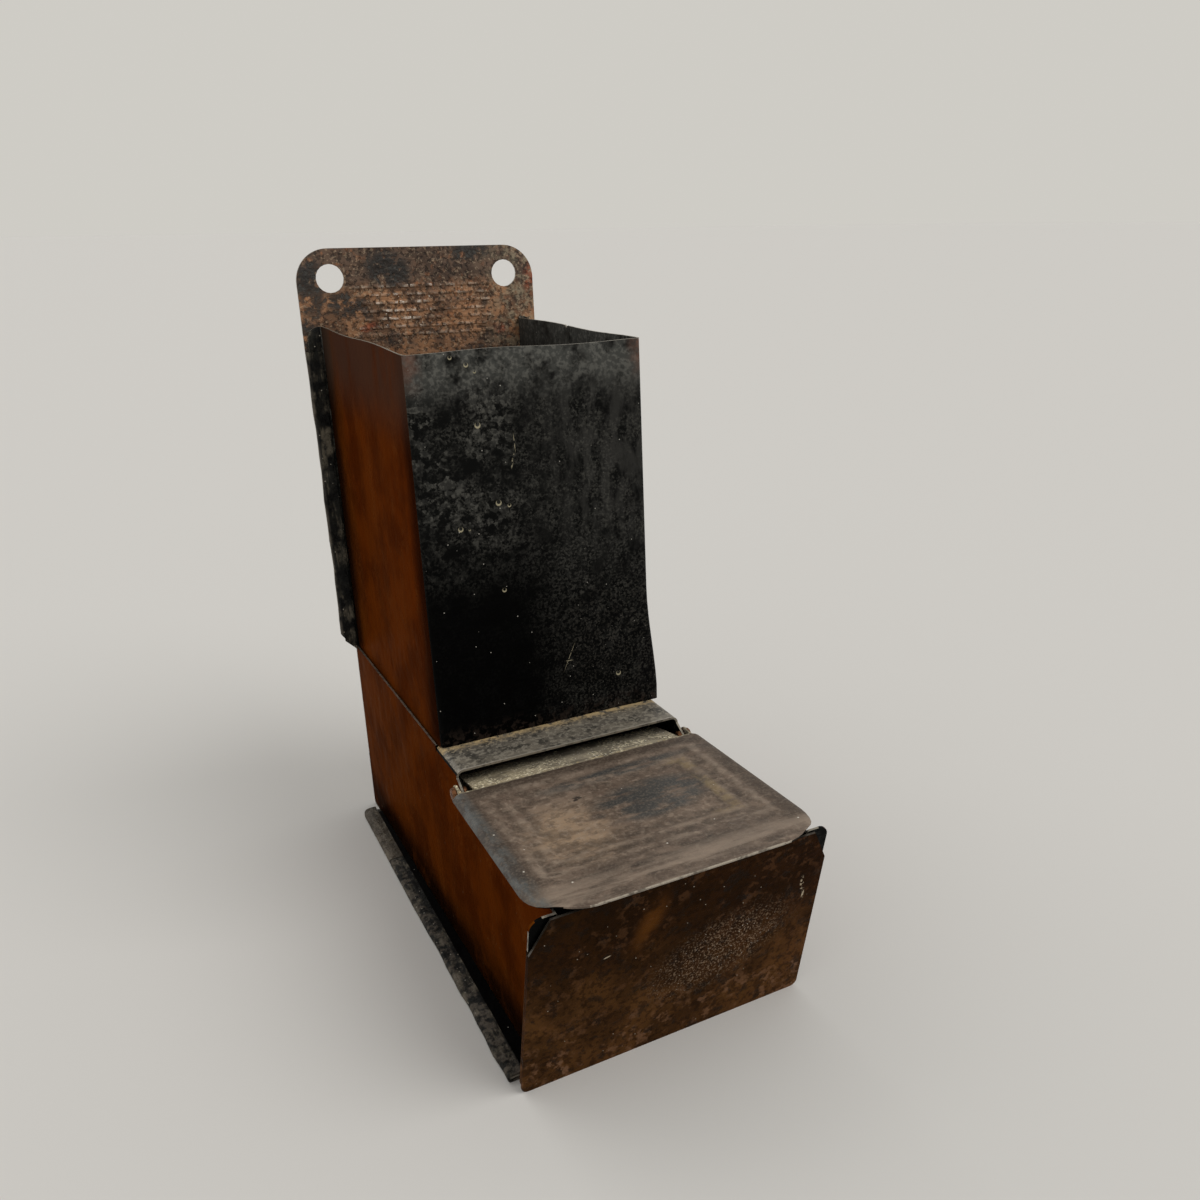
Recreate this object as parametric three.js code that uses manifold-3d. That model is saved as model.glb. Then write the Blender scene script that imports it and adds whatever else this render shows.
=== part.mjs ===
// Wall match holder in japanned sheet metal
//
// A tall open hopper stands in front of a back plate with two hanging holes and a striker.
// Matches drop through the hopper into a low tray. A hinged lid closes the front of the tray.
// The sheets are held together by folded hems that grip flanges of the next sheet.
//
// Units are millimetres. +Z is up and the front faces -Y. The origin is on the ground,
// in the middle of the width and of the depth.

import * as THREE from "three";
import { mergeVertices } from "three/addons/utils/BufferGeometryUtils.js";
import Module from "manifold-3d";

// Sheet and folds
const sheet = 0.6;
const lap = 0.1;
const frontLap = 0.3;
const fit = 0.3;
const flangeBend = 0.4;
const cornerBend = 1.5;
const floorHemGrip = 4.6;

// Hopper
const hopperHalfWidth = 32.5;
const hopperDepth = 88.2;
const hopperLean = 2.2;
const hopperHeight = 105.2;
const hopperTuck = 10;
const hopperSeat = 3;

// Back plate
const plateMargin = 5.5;
const plateRise = 22.5;
const plateCorner = 10;
const hemDrop = 7.4;
const plateSlopeHeight = 6;
const plateFoot = 5;
const holeRadius = 4.2;
const holeInset = 10;
const holeDrop = 8.7;

// Striker
const strikerInset = 15;
const strikerDrop = 11.5;
const strikerReach = 4;
const strikerPitch = 2.45;
const strikerRib = 1.5;
const strikerCrest = 0.5;
const strikerHeight = 0.45;
const strikerStep = 3.83;
const strikerBreak = 0.7;

// Tray
const trayHeight = 56.2;
const shelfRise = 4.5;
const shelfDepth = 14.3;
const shelfBend = 2;
const shoulderDrop = 1.8;
const shoulderRun = 3;
const shoulderEnd = 4.2;
const wallEase = 0.5;
const wallEaseRun = 5;

// Floor and its hems
const footDepth = 43.4;
const footHemStart = 7;
const footCorner = 3;
const floorMarginRear = 6;
const floorMarginFront = 8.5;
const floorLap = 6;
const floorHemEnd = 2.6;
const floorLip = 6;
const footBend = 1.5;

// Front plate
const frontLean = THREE.MathUtils.degToRad(13);
const frontMarginFoot = 6.5;
const frontMarginTop = 6.1;
const frontDrop = 0.6;
const frontNotch = 4.7;
const frontFootCorner = 2;
const frontHemGrip = 4.4;
const frontHemFoot = 3;
const frontHemTop = 10;
const frontEarCorner = 3;

// Lid
const lidLength = 62;
const lidSlot = 5.6;
const lidOverhang = 2.1;
const lidRest = 0.5;
const lidMargin = 4.7;
const lidTaper = 1.1;
const lidCorner = 11.5;
const lidRearCorner = 2;
const rollRadius = 2.5;
const rollSide = THREE.MathUtils.degToRad(60);
const rollFront = THREE.MathUtils.degToRad(20);
const tailWidth = 2;
const tailLength = 14.3;
const tailDrop = 2.6;
const notchDepth = 0.8;
const panelDrop = 0.45;
const panelSide = 3.3;
const panelRear = 5.3;
const panelFront = 15.7;
const panelStep = 5;

// Hinge
const pivotAhead = 2.4;
const pivotDrop = 0.7;
const shankRadius = 1;
const shankClearance = 0.15;
const earGap = 0.6;
const earRadius = 2.3;
const earReach = 4;
const headRadius = 1.9;
const headHeight = 1.05;
const headGap = 0.15;
const upsetRadius = 1.5;
const upsetHeight = 1;
const upsetGap = 0.2;

// Places that follow from the sizes
const hem = 3 * sheet + 2 * lap;
const frontHem = 3 * sheet + 2 * frontLap;
const trayInner = hopperHalfWidth + fit;
const trayOuter = trayInner + sheet;
const plateHalfWidth = hopperHalfWidth + plateMargin;
const plateHemGrip = plateHalfWidth - trayOuter - lap;
const shelfTop = trayHeight + shelfRise;
const hopperTop = shelfTop + hopperHeight;
const plateTop = hopperTop + plateRise;
const footY = -(hopperDepth + hopperLean);
const shelfFront = footY - shelfDepth;
const crease = shelfFront - lidSlot;
const lidFront = crease - lidLength;
const lidUnder = trayHeight + lidRest;
const lidTop = lidUnder + sheet;
const frontFoot = lidFront + lidOverhang + trayHeight * Math.tan(frontLean);
const frontHeight = trayHeight / Math.cos(frontLean);
const pivotY = shelfFront - pivotAhead;
const pivotZ = trayHeight - pivotDrop;
const earInner = trayOuter + earGap;
const earOuter = earInner + sheet;

const wasm = await Module();
wasm.setup();

const sideAxis = new THREE.Vector3(1, 0, 0);
const depthAxis = new THREE.Vector3(0, 1, 0);
const upAxis = new THREE.Vector3(0, 0, 1);

// Solids and surfaces

function solid(geometry) {
  const bare = geometry.clone();
  bare.deleteAttribute("normal");
  bare.deleteAttribute("uv");
  const merged = mergeVertices(bare, 1e-5);
  return new wasm.Manifold(new wasm.Mesh({
    numProp: 3,
    vertProperties: Float32Array.from(merged.attributes.position.array),
    triVerts: Uint32Array.from(merged.index.array),
  }));
}

function join(geometries) {
  return geometries.map(solid).reduce((whole, next) => whole.add(next));
}

function surface(body) {
  const mesh = body.getMesh();
  const geometry = new THREE.BufferGeometry();
  geometry.setAttribute("position", new THREE.BufferAttribute(mesh.vertProperties, 3));
  geometry.setIndex(new THREE.BufferAttribute(mesh.triVerts, 1));
  geometry.computeVertexNormals();
  return geometry;
}

// Outlines and extrusions along the three axes

function outline(points) {
  return new THREE.Shape(points.map(([u, v]) => new THREE.Vector2(u, v)));
}

function extrude(shape, length) {
  return new THREE.ExtrudeGeometry(shape, { depth: length, bevelEnabled: false, curveSegments: 10 });
}

// Drawn in x and y, as thick as low to high
function level(shape, low, high) {
  return extrude(shape, high - low).translate(0, 0, low);
}

// Drawn in x and z, from rear to front
function upright(shape, rear, front) {
  const turn = new THREE.Matrix4().makeBasis(sideAxis, upAxis, depthAxis.clone().negate());
  return extrude(shape, rear - front).applyMatrix4(turn).translate(0, rear, 0);
}

// Drawn in y and z, from left to right
function sideways(shape, left, right) {
  const turn = new THREE.Matrix4().makeBasis(depthAxis, upAxis, sideAxis);
  return extrude(shape, right - left).applyMatrix4(turn).translate(left, 0, 0);
}

function block(left, right, front, rear, low, high) {
  return new THREE.BoxGeometry(right - left, rear - front, high - low)
    .translate((left + right) / 2, (front + rear) / 2, (low + high) / 2);
}

function reshape(geometry, move) {
  const place = geometry.attributes.position;
  const point = new THREE.Vector3();
  for (let i = 0; i < place.count; i++) {
    point.fromBufferAttribute(place, i);
    move(point);
    place.setXYZ(i, point.x, point.y, point.z);
  }
  return geometry;
}

// The waste outside a rounded corner at (u, v); towards gives the side the sheet lies on
function cornerWaste(u, v, radius, towardsU, towardsV) {
  const centreU = u + towardsU * radius;
  const centreV = v + towardsV * radius;
  const points = [[u - towardsU, v - towardsV]];
  points.push([centreU, v - towardsV]);
  for (let i = 0; i <= 8; i++) {
    const angle = (i / 8) * (Math.PI / 2);
    points.push([
      centreU - towardsU * radius * Math.sin(angle),
      centreV - towardsV * radius * Math.cos(angle),
    ]);
  }
  points.push([u - towardsU, centreV]);
  return outline(points);
}

// A path with its inner corners rounded; a point is [u, v, radius]
function roundedPath(points) {
  const path = [new THREE.Vector2(points[0][0], points[0][1])];
  for (let i = 1; i < points.length - 1; i++) {
    const corner = new THREE.Vector2(points[i][0], points[i][1]);
    const before = corner.clone().sub(new THREE.Vector2(points[i - 1][0], points[i - 1][1])).normalize();
    const after = new THREE.Vector2(points[i + 1][0], points[i + 1][1]).sub(corner).normalize();
    const turn = Math.atan2(before.cross(after), before.dot(after));
    const radius = points[i][2];
    const start = corner.clone().addScaledVector(before, -radius * Math.tan(Math.abs(turn) / 2));
    const aside = new THREE.Vector2(-before.y, before.x).multiplyScalar(Math.sign(turn) * radius);
    const centre = start.clone().add(aside);
    for (let k = 0; k <= 5; k++) {
      path.push(start.clone().rotateAround(centre, (turn * k) / 5));
    }
  }
  const last = points[points.length - 1];
  path.push(new THREE.Vector2(last[0], last[1]));
  return path;
}

// Normals to the left of a path, lengthened at corners so that an offset keeps its width
function leftNormals(path) {
  return path.map((point, i) => {
    const before = i > 0 ? point.clone().sub(path[i - 1]).normalize() : null;
    const after = i < path.length - 1 ? path[i + 1].clone().sub(point).normalize() : null;
    const first = before ?? after;
    const second = after ?? before;
    const along = first.clone().add(second).normalize();
    const normal = new THREE.Vector2(-along.y, along.x);
    return normal.divideScalar(normal.dot(new THREE.Vector2(-first.y, first.x)));
  });
}

// A bent sheet seen on edge: the path is one face, the other lies to its left
function bentSheet(points) {
  const path = roundedPath(points);
  const normals = leftNormals(path);
  const other = path.map((point, i) => point.clone().addScaledVector(normals[i], sheet));
  return new THREE.Shape([...path, ...other.reverse()]);
}

// A folded hem seen on edge, on the side of the given sign, from u = edge - grip to u = edge
function hemOutline(side, edge, grip, stack, along) {
  const outer = stack / 2;
  const inner = outer - sheet;
  const points = [[edge - grip, 0]];
  for (let i = 0; i <= 8; i++) {
    const angle = (i / 8) * Math.PI;
    points.push([edge - outer + outer * Math.sin(angle), outer - outer * Math.cos(angle)]);
  }
  points.push([edge - grip, stack]);
  points.push([edge - grip, stack - sheet]);
  for (let i = 8; i >= 0; i--) {
    const angle = (i / 8) * Math.PI;
    points.push([edge - outer + inner * Math.sin(angle), outer - inner * Math.cos(angle)]);
  }
  points.push([edge - grip, sheet]);
  return outline(points.map(([u, v]) => [side * u, along * v]));
}

// Half width of the floor hems, which spread a little towards the front
function floorHalfWidth(y) {
  const share = y / frontFoot;
  return trayOuter + floorMarginRear + (floorMarginFront - floorMarginRear) * share;
}

// The leaning plane that lies the given depth behind the front face, at height z
function leaningY(depth, z) {
  return frontFoot + (depth - z * Math.sin(frontLean)) / Math.cos(frontLean);
}

const leaning = new THREE.Matrix4()
  .makeRotationX(frontLean)
  .setPosition(0, frontFoot, 0);

// Back plate: upper plate, side hems, narrow lower part and the foot under the tray

function hemSlopeWaste(side) {
  const low = shelfTop - 1;
  const high = low + plateSlopeHeight;
  return upright(outline([
    [side * trayOuter, low],
    [side * (plateHalfWidth + 1), high + plateSlopeHeight / (plateHalfWidth - trayOuter)],
    [side * (plateHalfWidth + 1), plateFoot],
    [side * trayOuter, plateFoot],
  ]), 1, -hem - 1);
}

function strikerRibs() {
  const ribs = [];
  const halfWidth = plateHalfWidth - strikerInset;
  const first = plateTop - strikerDrop;
  const last = hopperTop - strikerReach;
  const rows = Math.floor((first - last) / strikerPitch) + 1;
  const columns = Math.floor((2 * halfWidth) / strikerStep);
  const section = outline([
    [-sheet / 2, -strikerRib / 2],
    [-sheet, -strikerRib / 2],
    [-sheet - strikerHeight, -strikerCrest / 2],
    [-sheet - strikerHeight, strikerCrest / 2],
    [-sheet, strikerRib / 2],
    [-sheet / 2, strikerRib / 2],
  ]);
  for (let row = 0; row < rows; row++) {
    const stagger = row % 2 === 0 ? 0 : strikerStep / 2;
    const count = row % 2 === 0 ? columns : columns - 1;
    for (let column = 0; column < count; column++) {
      const left = -(columns * strikerStep) / 2 + stagger + column * strikerStep + strikerBreak / 2;
      const rib = sideways(section, left, left + strikerStep - strikerBreak);
      ribs.push(rib.translate(0, 0, first - row * strikerPitch));
    }
  }
  return ribs;
}

function backPlate() {
  const face = new THREE.Shape();
  face.moveTo(-plateHalfWidth, plateFoot);
  face.lineTo(plateHalfWidth, plateFoot);
  face.lineTo(plateHalfWidth, plateTop - plateCorner);
  face.absarc(plateHalfWidth - plateCorner, plateTop - plateCorner, plateCorner, 0, Math.PI / 2);
  face.lineTo(-plateHalfWidth + plateCorner, plateTop);
  face.absarc(-plateHalfWidth + plateCorner, plateTop - plateCorner, plateCorner, Math.PI / 2, Math.PI);
  for (const side of [-1, 1]) {
    const hole = new THREE.Path();
    hole.absarc(side * (plateHalfWidth - holeInset), plateTop - holeDrop, holeRadius, 0, 2 * Math.PI);
    face.holes.push(hole);
  }
  const foot = outline([
    [-trayOuter, -footBend - 1],
    [trayOuter, -footBend - 1],
    [trayOuter, -footHemStart],
    [floorHalfWidth(-footHemStart) - hem / 2, -footHemStart],
    [floorHalfWidth(-footDepth) - hem / 2, -footDepth],
    [-floorHalfWidth(-footDepth) + hem / 2, -footDepth],
    [-floorHalfWidth(-footHemStart) + hem / 2, -footHemStart],
    [-trayOuter, -footHemStart],
  ]);
  const bend = bentSheet([[-footBend - 2, 0], [0, 0, footBend], [0, plateFoot + 1]]);
  const pieces = [
    upright(face, 0, -sheet),
    sideways(bend, -trayOuter, trayOuter),
    level(foot, 0, sheet),
  ];
  for (const side of [-1, 1]) {
    const fold = hemOutline(side, plateHalfWidth, plateHemGrip, hem, -1);
    pieces.push(level(fold, plateFoot + 1, hopperTop - hemDrop));
    pieces.push(floorHem(side, -footHemStart, -footDepth));
  }
  let body = join([...pieces, ...strikerRibs()]);
  for (const side of [-1, 1]) {
    const edge = side * floorHalfWidth(-footHemStart);
    body = body.subtract(solid(hemSlopeWaste(side)));
    body = body.subtract(solid(level(cornerWaste(edge, -footHemStart, footCorner, -side, -1), -1, hem + 1)));
  }
  return surface(body);
}

// Hopper: one sheet bent to three walls, with flanges that lie in the back plate's hems

function hopper() {
  const wallY = -sheet - lap - sheet;
  const flangeEnd = plateHalfWidth - hem / 2 - lap;
  const plan = bentSheet([
    [-flangeEnd, wallY],
    [-hopperHalfWidth, wallY, flangeBend],
    [-hopperHalfWidth, -hopperDepth, cornerBend],
    [hopperHalfWidth, -hopperDepth, cornerBend],
    [hopperHalfWidth, wallY, flangeBend],
    [flangeEnd, wallY],
  ]);
  const walls = reshape(level(plan, shelfTop + lap, hopperTop), (point) => {
    if (point.y < -hopperDepth / 2) {
      point.y -= (hopperLean * (hopperTop - point.z)) / hopperHeight;
    }
  });
  const pieces = [walls];
  for (const side of [-1, 1]) {
    const tuck = outline([
      [side * hopperHalfWidth, wallY - flangeBend],
      [side * (hopperHalfWidth - sheet), wallY - flangeBend],
      [side * (hopperHalfWidth - sheet), footY + hopperSeat + fit],
      [side * hopperHalfWidth, footY + hopperSeat + fit],
    ]);
    pieces.push(level(tuck, shelfTop - hopperTuck, shelfTop + 1));
  }
  let body = join(pieces);
  for (const side of [-1, 1]) {
    const waste = cornerWaste(side * flangeEnd, hopperTop, flangeEnd - hopperHalfWidth - sheet, -side, -1);
    body = body.subtract(solid(upright(waste, 0, wallY - fit)));
    body = body.subtract(solid(hemSlopeWaste(side).translate(0, 0, lap)));
  }
  return surface(body);
}

// Tray body: the two side walls and the shelf in one sheet, with flanges at the floor and front

function trayWallOutline() {
  const frontDepth = sheet + frontLap + sheet / 2;
  return outline([
    [-footBend - lap, sheet + lap],
    [-sheet - lap, footBend + lap],
    [-sheet - lap, shelfTop],
    [footY + hopperSeat, shelfTop],
    [footY + hopperSeat, shelfTop - shelfBend],
    [shelfFront, shelfTop - shelfBend],
    [shelfFront - shoulderRun, shelfTop - shelfBend - shoulderDrop],
    [shelfFront - shoulderEnd, trayHeight],
    [leaningY(frontDepth, trayHeight) + wallEaseRun, trayHeight],
    [leaningY(frontDepth, trayHeight - wallEase), trayHeight - wallEase],
    [leaningY(frontDepth, sheet + lap), sheet + lap],
  ]);
}

// Front flange of a side wall: narrow inside the hem, and a wider rounded ear above it
function frontFlange(side) {
  const reach = trayOuter - frontHem / 2 - lap;
  const earHalfWidth = trayOuter + frontMarginTop - lap;
  const earFoot = frontHeight - frontHemTop + 2 * frontLap;
  const earTop = frontHeight - fit;
  const points = [
    [trayOuter - sheet / 2, frontHemFoot],
    [reach + frontMarginFoot, frontHemFoot],
    [reach + frontMarginTop, earFoot],
    [earHalfWidth, earFoot],
  ];
  for (let i = 0; i <= 8; i++) {
    const angle = (i / 8) * (Math.PI / 2);
    points.push([
      earHalfWidth - frontEarCorner * (1 - Math.cos(angle)),
      earTop - frontEarCorner * (1 - Math.sin(angle)),
    ]);
  }
  points.push([trayOuter - sheet / 2, earTop]);
  return outline(points.map(([x, z]) => [side * x, z]));
}

function trayBody() {
  const arch = bentSheet([
    [trayOuter, shelfTop - shelfBend - 1],
    [trayOuter, shelfTop, shelfBend],
    [-trayOuter, shelfTop, shelfBend],
    [-trayOuter, shelfTop - shelfBend - 1],
  ]);
  const pieces = [upright(arch, footY + hopperSeat, shelfFront)];
  const flangeRear = -footHemStart - footCorner;
  const flangeFront = leaningY(frontHem, 0) + floorHemEnd;
  const grip = hem / 2 + lap;
  for (const side of [-1, 1]) {
    const inner = side * trayInner;
    const outer = side * trayOuter;
    pieces.push(sideways(trayWallOutline(), Math.min(inner, outer), Math.max(inner, outer)));
    pieces.push(level(outline([
      [inner, flangeRear],
      [side * (floorHalfWidth(flangeRear) - grip), flangeRear],
      [side * (floorHalfWidth(flangeFront) - grip), flangeFront],
      [inner, flangeFront],
    ]), sheet + lap, sheet + lap + sheet));
    pieces.push(upright(frontFlange(side), sheet + frontLap + sheet, sheet + frontLap).applyMatrix4(leaning));
  }
  let body = join(pieces);
  for (const side of [-1, 1]) {
    const hole = new THREE.Shape().absarc(pivotY, pivotZ, shankRadius + shankClearance, 0, 2 * Math.PI);
    const left = side > 0 ? trayInner - 1 : -trayOuter - 1;
    body = body.subtract(solid(sideways(hole, left, left + sheet + 2)));
  }
  return surface(body);
}

// Floor plate: the flat bottom, its hems, the lapped rear seam and the lip behind the front

function floorHem(side, rear, front) {
  const reference = floorHalfWidth(0);
  const straight = upright(hemOutline(side, reference, floorHemGrip, hem, 1), rear, front);
  return reshape(straight, (point) => {
    point.x += side * (floorHalfWidth(point.y) - reference);
  });
}

function floorPlate() {
  const rear = -footDepth - fit;
  const hemFront = leaningY(frontHem, 0) + floorHemEnd - fit;
  const inside = trayInner - fit;
  const plan = outline([
    [-floorHalfWidth(rear) + hem / 2, rear],
    [floorHalfWidth(rear) - hem / 2, rear],
    [floorHalfWidth(hemFront) - hem / 2, hemFront],
    [inside, hemFront],
    [inside, leaningY(sheet + frontLap, 0)],
    [-inside, leaningY(sheet + frontLap, 0)],
    [-inside, hemFront],
    [-floorHalfWidth(hemFront) + hem / 2, hemFront],
  ]);
  const seam = outline([
    [rear, 0],
    [rear, sheet + lap],
    [rear + floorLap, sheet + lap],
    [rear + floorLap, 2 * sheet + lap],
    [rear - sheet, 2 * sheet + lap],
    [rear - sheet - lap, 0],
  ]);
  const lip = outline([
    [leaningY(sheet + frontLap, 0), 0],
    [leaningY(sheet + frontLap, floorLip), floorLip],
    [leaningY(2 * sheet + frontLap, floorLip), floorLip],
    [leaningY(2 * sheet + frontLap, 0), 0],
  ]);
  return surface(join([
    level(plan, 0, sheet),
    sideways(seam, -inside, inside),
    sideways(lip, -inside, inside),
    floorHem(-1, rear, hemFront),
    floorHem(1, rear, hemFront),
  ]));
}

// Front plate, drawn upright with its face at y = 0 and leaned forward by its mesh

function frontPlate() {
  const halfFoot = trayOuter + frontMarginFoot;
  const halfTop = trayOuter + frontMarginTop;
  const spread = (halfTop - halfFoot) / frontHeight;
  const edgeHalfWidth = (z) => halfFoot + spread * z;
  const hemTop = frontHeight - frontHemTop;
  const edgeTop = frontHeight - frontDrop;
  const face = outline([
    [-halfFoot, 0],
    [halfFoot, 0],
    [edgeHalfWidth(hemTop), hemTop],
    [halfTop - frontNotch, edgeTop],
    [-halfTop + frontNotch, edgeTop],
    [-edgeHalfWidth(hemTop), hemTop],
  ]);
  const pieces = [upright(face, sheet, 0)];
  for (const side of [-1, 1]) {
    const fold = hemOutline(side, halfFoot, frontHemGrip, frontHem, 1);
    const straight = level(fold, frontHemFoot - frontLap, hemTop);
    pieces.push(reshape(straight, (point) => {
      point.x += side * (edgeHalfWidth(point.z) - halfFoot);
    }));
  }
  let body = join(pieces);
  for (const side of [-1, 1]) {
    const waste = cornerWaste(side * halfFoot, 0, frontFootCorner, -side, 1);
    body = body.subtract(solid(upright(waste, sheet + 1, -1)));
  }
  return surface(body);
}

// Lid: flat panel with a rolled edge, a stepped recess, a tail behind the crease and two ears

function lidSweep(path) {
  const normals = leftNormals(path);
  const rings = path.map((point, i) => {
    const sideShare = Math.abs(normals[i].x) / normals[i].length();
    const angle = THREE.MathUtils.lerp(rollFront, rollSide, THREE.MathUtils.smoothstep(sideShare, 0.6, 1));
    const ring = [[-1, lidTop]];
    for (let k = 0; k <= 4; k++) {
      const turn = (angle * k) / 4;
      ring.push([rollRadius * Math.sin(turn), lidTop - rollRadius + rollRadius * Math.cos(turn)]);
    }
    for (let k = 4; k >= 0; k--) {
      const turn = (angle * k) / 4;
      const inner = rollRadius - sheet;
      ring.push([inner * Math.sin(turn), lidTop - rollRadius + inner * Math.cos(turn)]);
    }
    ring.push([-1, lidUnder]);
    return ring.map(([out, z]) => {
      const place = point.clone().addScaledVector(normals[i], -out);
      return [place.x, place.y, z];
    });
  });
  return sweptSolid(rings);
}

// Joins rings of equal length into one closed body with flat ends
function sweptSolid(rings) {
  const size = rings[0].length;
  const positions = rings.flat(2);
  const index = [];
  for (let i = 0; i < rings.length - 1; i++) {
    for (let k = 0; k < size; k++) {
      const next = (k + 1) % size;
      const a = i * size + k;
      const b = i * size + next;
      const c = (i + 1) * size + next;
      const d = (i + 1) * size + k;
      index.push(a, b, c, a, c, d);
    }
  }
  const last = (rings.length - 1) * size;
  const flat = rings[0].map(([x, , z]) => new THREE.Vector2(x, z));
  for (const [a, b, c] of THREE.ShapeUtils.triangulateShape(flat, [])) {
    index.push(a, c, b);
    index.push(last + a, last + b, last + c);
  }
  const geometry = new THREE.BufferGeometry();
  geometry.setAttribute("position", new THREE.Float32BufferAttribute(positions, 3));
  geometry.setIndex(index);
  return geometry;
}

function lid() {
  const rollOut = rollRadius * Math.sin(rollSide);
  const halfFront = trayOuter + lidMargin - rollOut;
  const halfRear = halfFront - lidTaper;
  const front = lidFront + rollRadius * Math.sin(rollFront);
  const edge = roundedPath([
    [-halfRear, crease - lidRearCorner],
    [-halfFront, front, lidCorner],
    [halfFront, front, lidCorner],
    [halfRear, crease - lidRearCorner],
  ]);
  const tailHalf = trayInner - tailWidth;
  const notchInner = tailHalf + fit / 2;
  const notchOuter = earInner - fit / 2;
  const panel = new THREE.Shape([
    ...edge,
    new THREE.Vector2(halfRear, crease - lidRearCorner),
    new THREE.Vector2(halfRear - lidRearCorner / 4, crease),
    new THREE.Vector2(notchOuter, crease),
    new THREE.Vector2(notchOuter, crease - notchDepth),
    new THREE.Vector2(notchInner, crease - notchDepth),
    new THREE.Vector2(notchInner, crease),
    new THREE.Vector2(-notchInner, crease),
    new THREE.Vector2(-notchInner, crease - notchDepth),
    new THREE.Vector2(-notchOuter, crease - notchDepth),
    new THREE.Vector2(-notchOuter, crease),
    new THREE.Vector2(-halfRear + lidRearCorner / 4, crease),
  ]);
  const tail = outline([
    [crease - 1, lidTop],
    [crease, lidTop],
    [crease + tailLength, lidTop - tailDrop],
    [crease + tailLength, lidTop - tailDrop - sheet],
    [crease, lidUnder],
    [crease - 1, lidUnder],
  ]);
  const recess = (inset, low, high) => block(
    -trayOuter + panelSide + inset,
    trayOuter - panelSide - inset,
    lidFront + panelFront + inset,
    crease - panelRear - inset,
    low,
    high,
  );
  const pieces = [level(panel, lidUnder, lidTop), lidSweep(edge), sideways(tail, -tailHalf, tailHalf)];
  for (let step = 0; step < 2; step++) {
    const inset = step * panelStep;
    const drop = (step + 1) * panelDrop;
    pieces.push(recess(inset - sheet / 2, lidUnder - drop, lidUnder + sheet / 2));
  }
  for (const side of [-1, 1]) {
    const ear = [];
    for (let i = 0; i <= 12; i++) {
      const angle = THREE.MathUtils.degToRad(115 - (230 * i) / 12);
      ear.push([pivotY + earRadius * Math.cos(angle), pivotZ + earRadius * Math.sin(angle)]);
    }
    ear.push([crease - earReach, lidUnder - sheet]);
    ear.push([crease - earReach, lidUnder + sheet / 2]);
    ear.push([crease - notchDepth, lidUnder + sheet / 2]);
    const left = side > 0 ? earInner : -earOuter;
    pieces.push(sideways(outline(ear), left, left + sheet));
  }
  let body = join(pieces);
  for (let step = 0; step < 2; step++) {
    body = body.subtract(solid(recess(step * panelStep, lidTop - (step + 1) * panelDrop, lidTop + 1)));
  }
  const hole = new THREE.Shape().absarc(pivotY, pivotZ, shankRadius + shankClearance, 0, 2 * Math.PI);
  for (const side of [-1, 1]) {
    const left = side > 0 ? earInner - 0.5 : -earOuter - 0.5;
    body = body.subtract(solid(sideways(hole, left, left + sheet + 1)));
  }
  return surface(body);
}

// Hinge rivet, turned about its own axis and pointing outwards

function rivet() {
  const upsetEnd = trayInner - upsetGap;
  const headStart = earOuter + headGap;
  const profile = [
    [0, upsetEnd - upsetHeight],
    [upsetRadius * 0.7, upsetEnd - upsetHeight],
    [upsetRadius, upsetEnd - upsetHeight * 0.6],
    [upsetRadius, upsetEnd],
    [shankRadius, upsetEnd],
    [shankRadius, headStart],
    [headRadius, headStart],
    [headRadius * 0.92, headStart + headHeight * 0.45],
    [headRadius * 0.6, headStart + headHeight * 0.85],
    [0, headStart + headHeight],
  ];
  const turned = new THREE.LatheGeometry(profile.map(([r, x]) => new THREE.Vector2(r, x)), 24);
  return surface(solid(turned));
}

// The assembly

function piece(name, geometry, colour, roughness, metalness) {
  const finish = new THREE.MeshStandardMaterial({ color: colour, roughness, metalness });
  const mesh = new THREE.Mesh(geometry, finish);
  mesh.name = name;
  return mesh;
}

const holder = new THREE.Group();
holder.name = "match_holder";

const fixed = new THREE.Group();
fixed.add(piece("back_plate", backPlate(), 0x4a3226, 0.6, 0.5));
fixed.add(piece("hopper", hopper(), 0x1d1a18, 0.45, 0.4));
fixed.add(piece("tray_body", trayBody(), 0x2a241f, 0.45, 0.4));
fixed.add(piece("floor_plate", floorPlate(), 0x2a2b28, 0.7, 0.4));

const front = piece("front_plate", frontPlate(), 0x35271c, 0.4, 0.5);
front.position.y = frontFoot;
front.rotation.x = frontLean;
fixed.add(front);

for (const side of [-1, 1]) {
  const name = side < 0 ? "left_hinge_rivet" : "right_hinge_rivet";
  const pin = piece(name, rivet(), 0xa86a3c, 0.4, 0.9);
  pin.rotation.z = (-side * Math.PI) / 2;
  pin.position.set(0, pivotY, pivotZ);
  fixed.add(pin);
}
holder.add(fixed);

const cover = new THREE.Group();
cover.add(piece("lid", lid(), 0x544840, 0.55, 0.5));
holder.add(cover);

holder.position.y = -lidFront / 2;
holder.updateMatrixWorld(true);

export default holder;
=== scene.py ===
# %% [markdown]
# # A wall match holder in old japanned sheet metal
#
# The real object is folded from a few thin sheets, painted with black japan and worn by decades
# in a kitchen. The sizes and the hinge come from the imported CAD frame. This lesson gives each
# sheet its soft folds, its small dents and its paint, rust and dust.

import math

import bmesh
import bpy
from mathutils import Matrix, Vector


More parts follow.
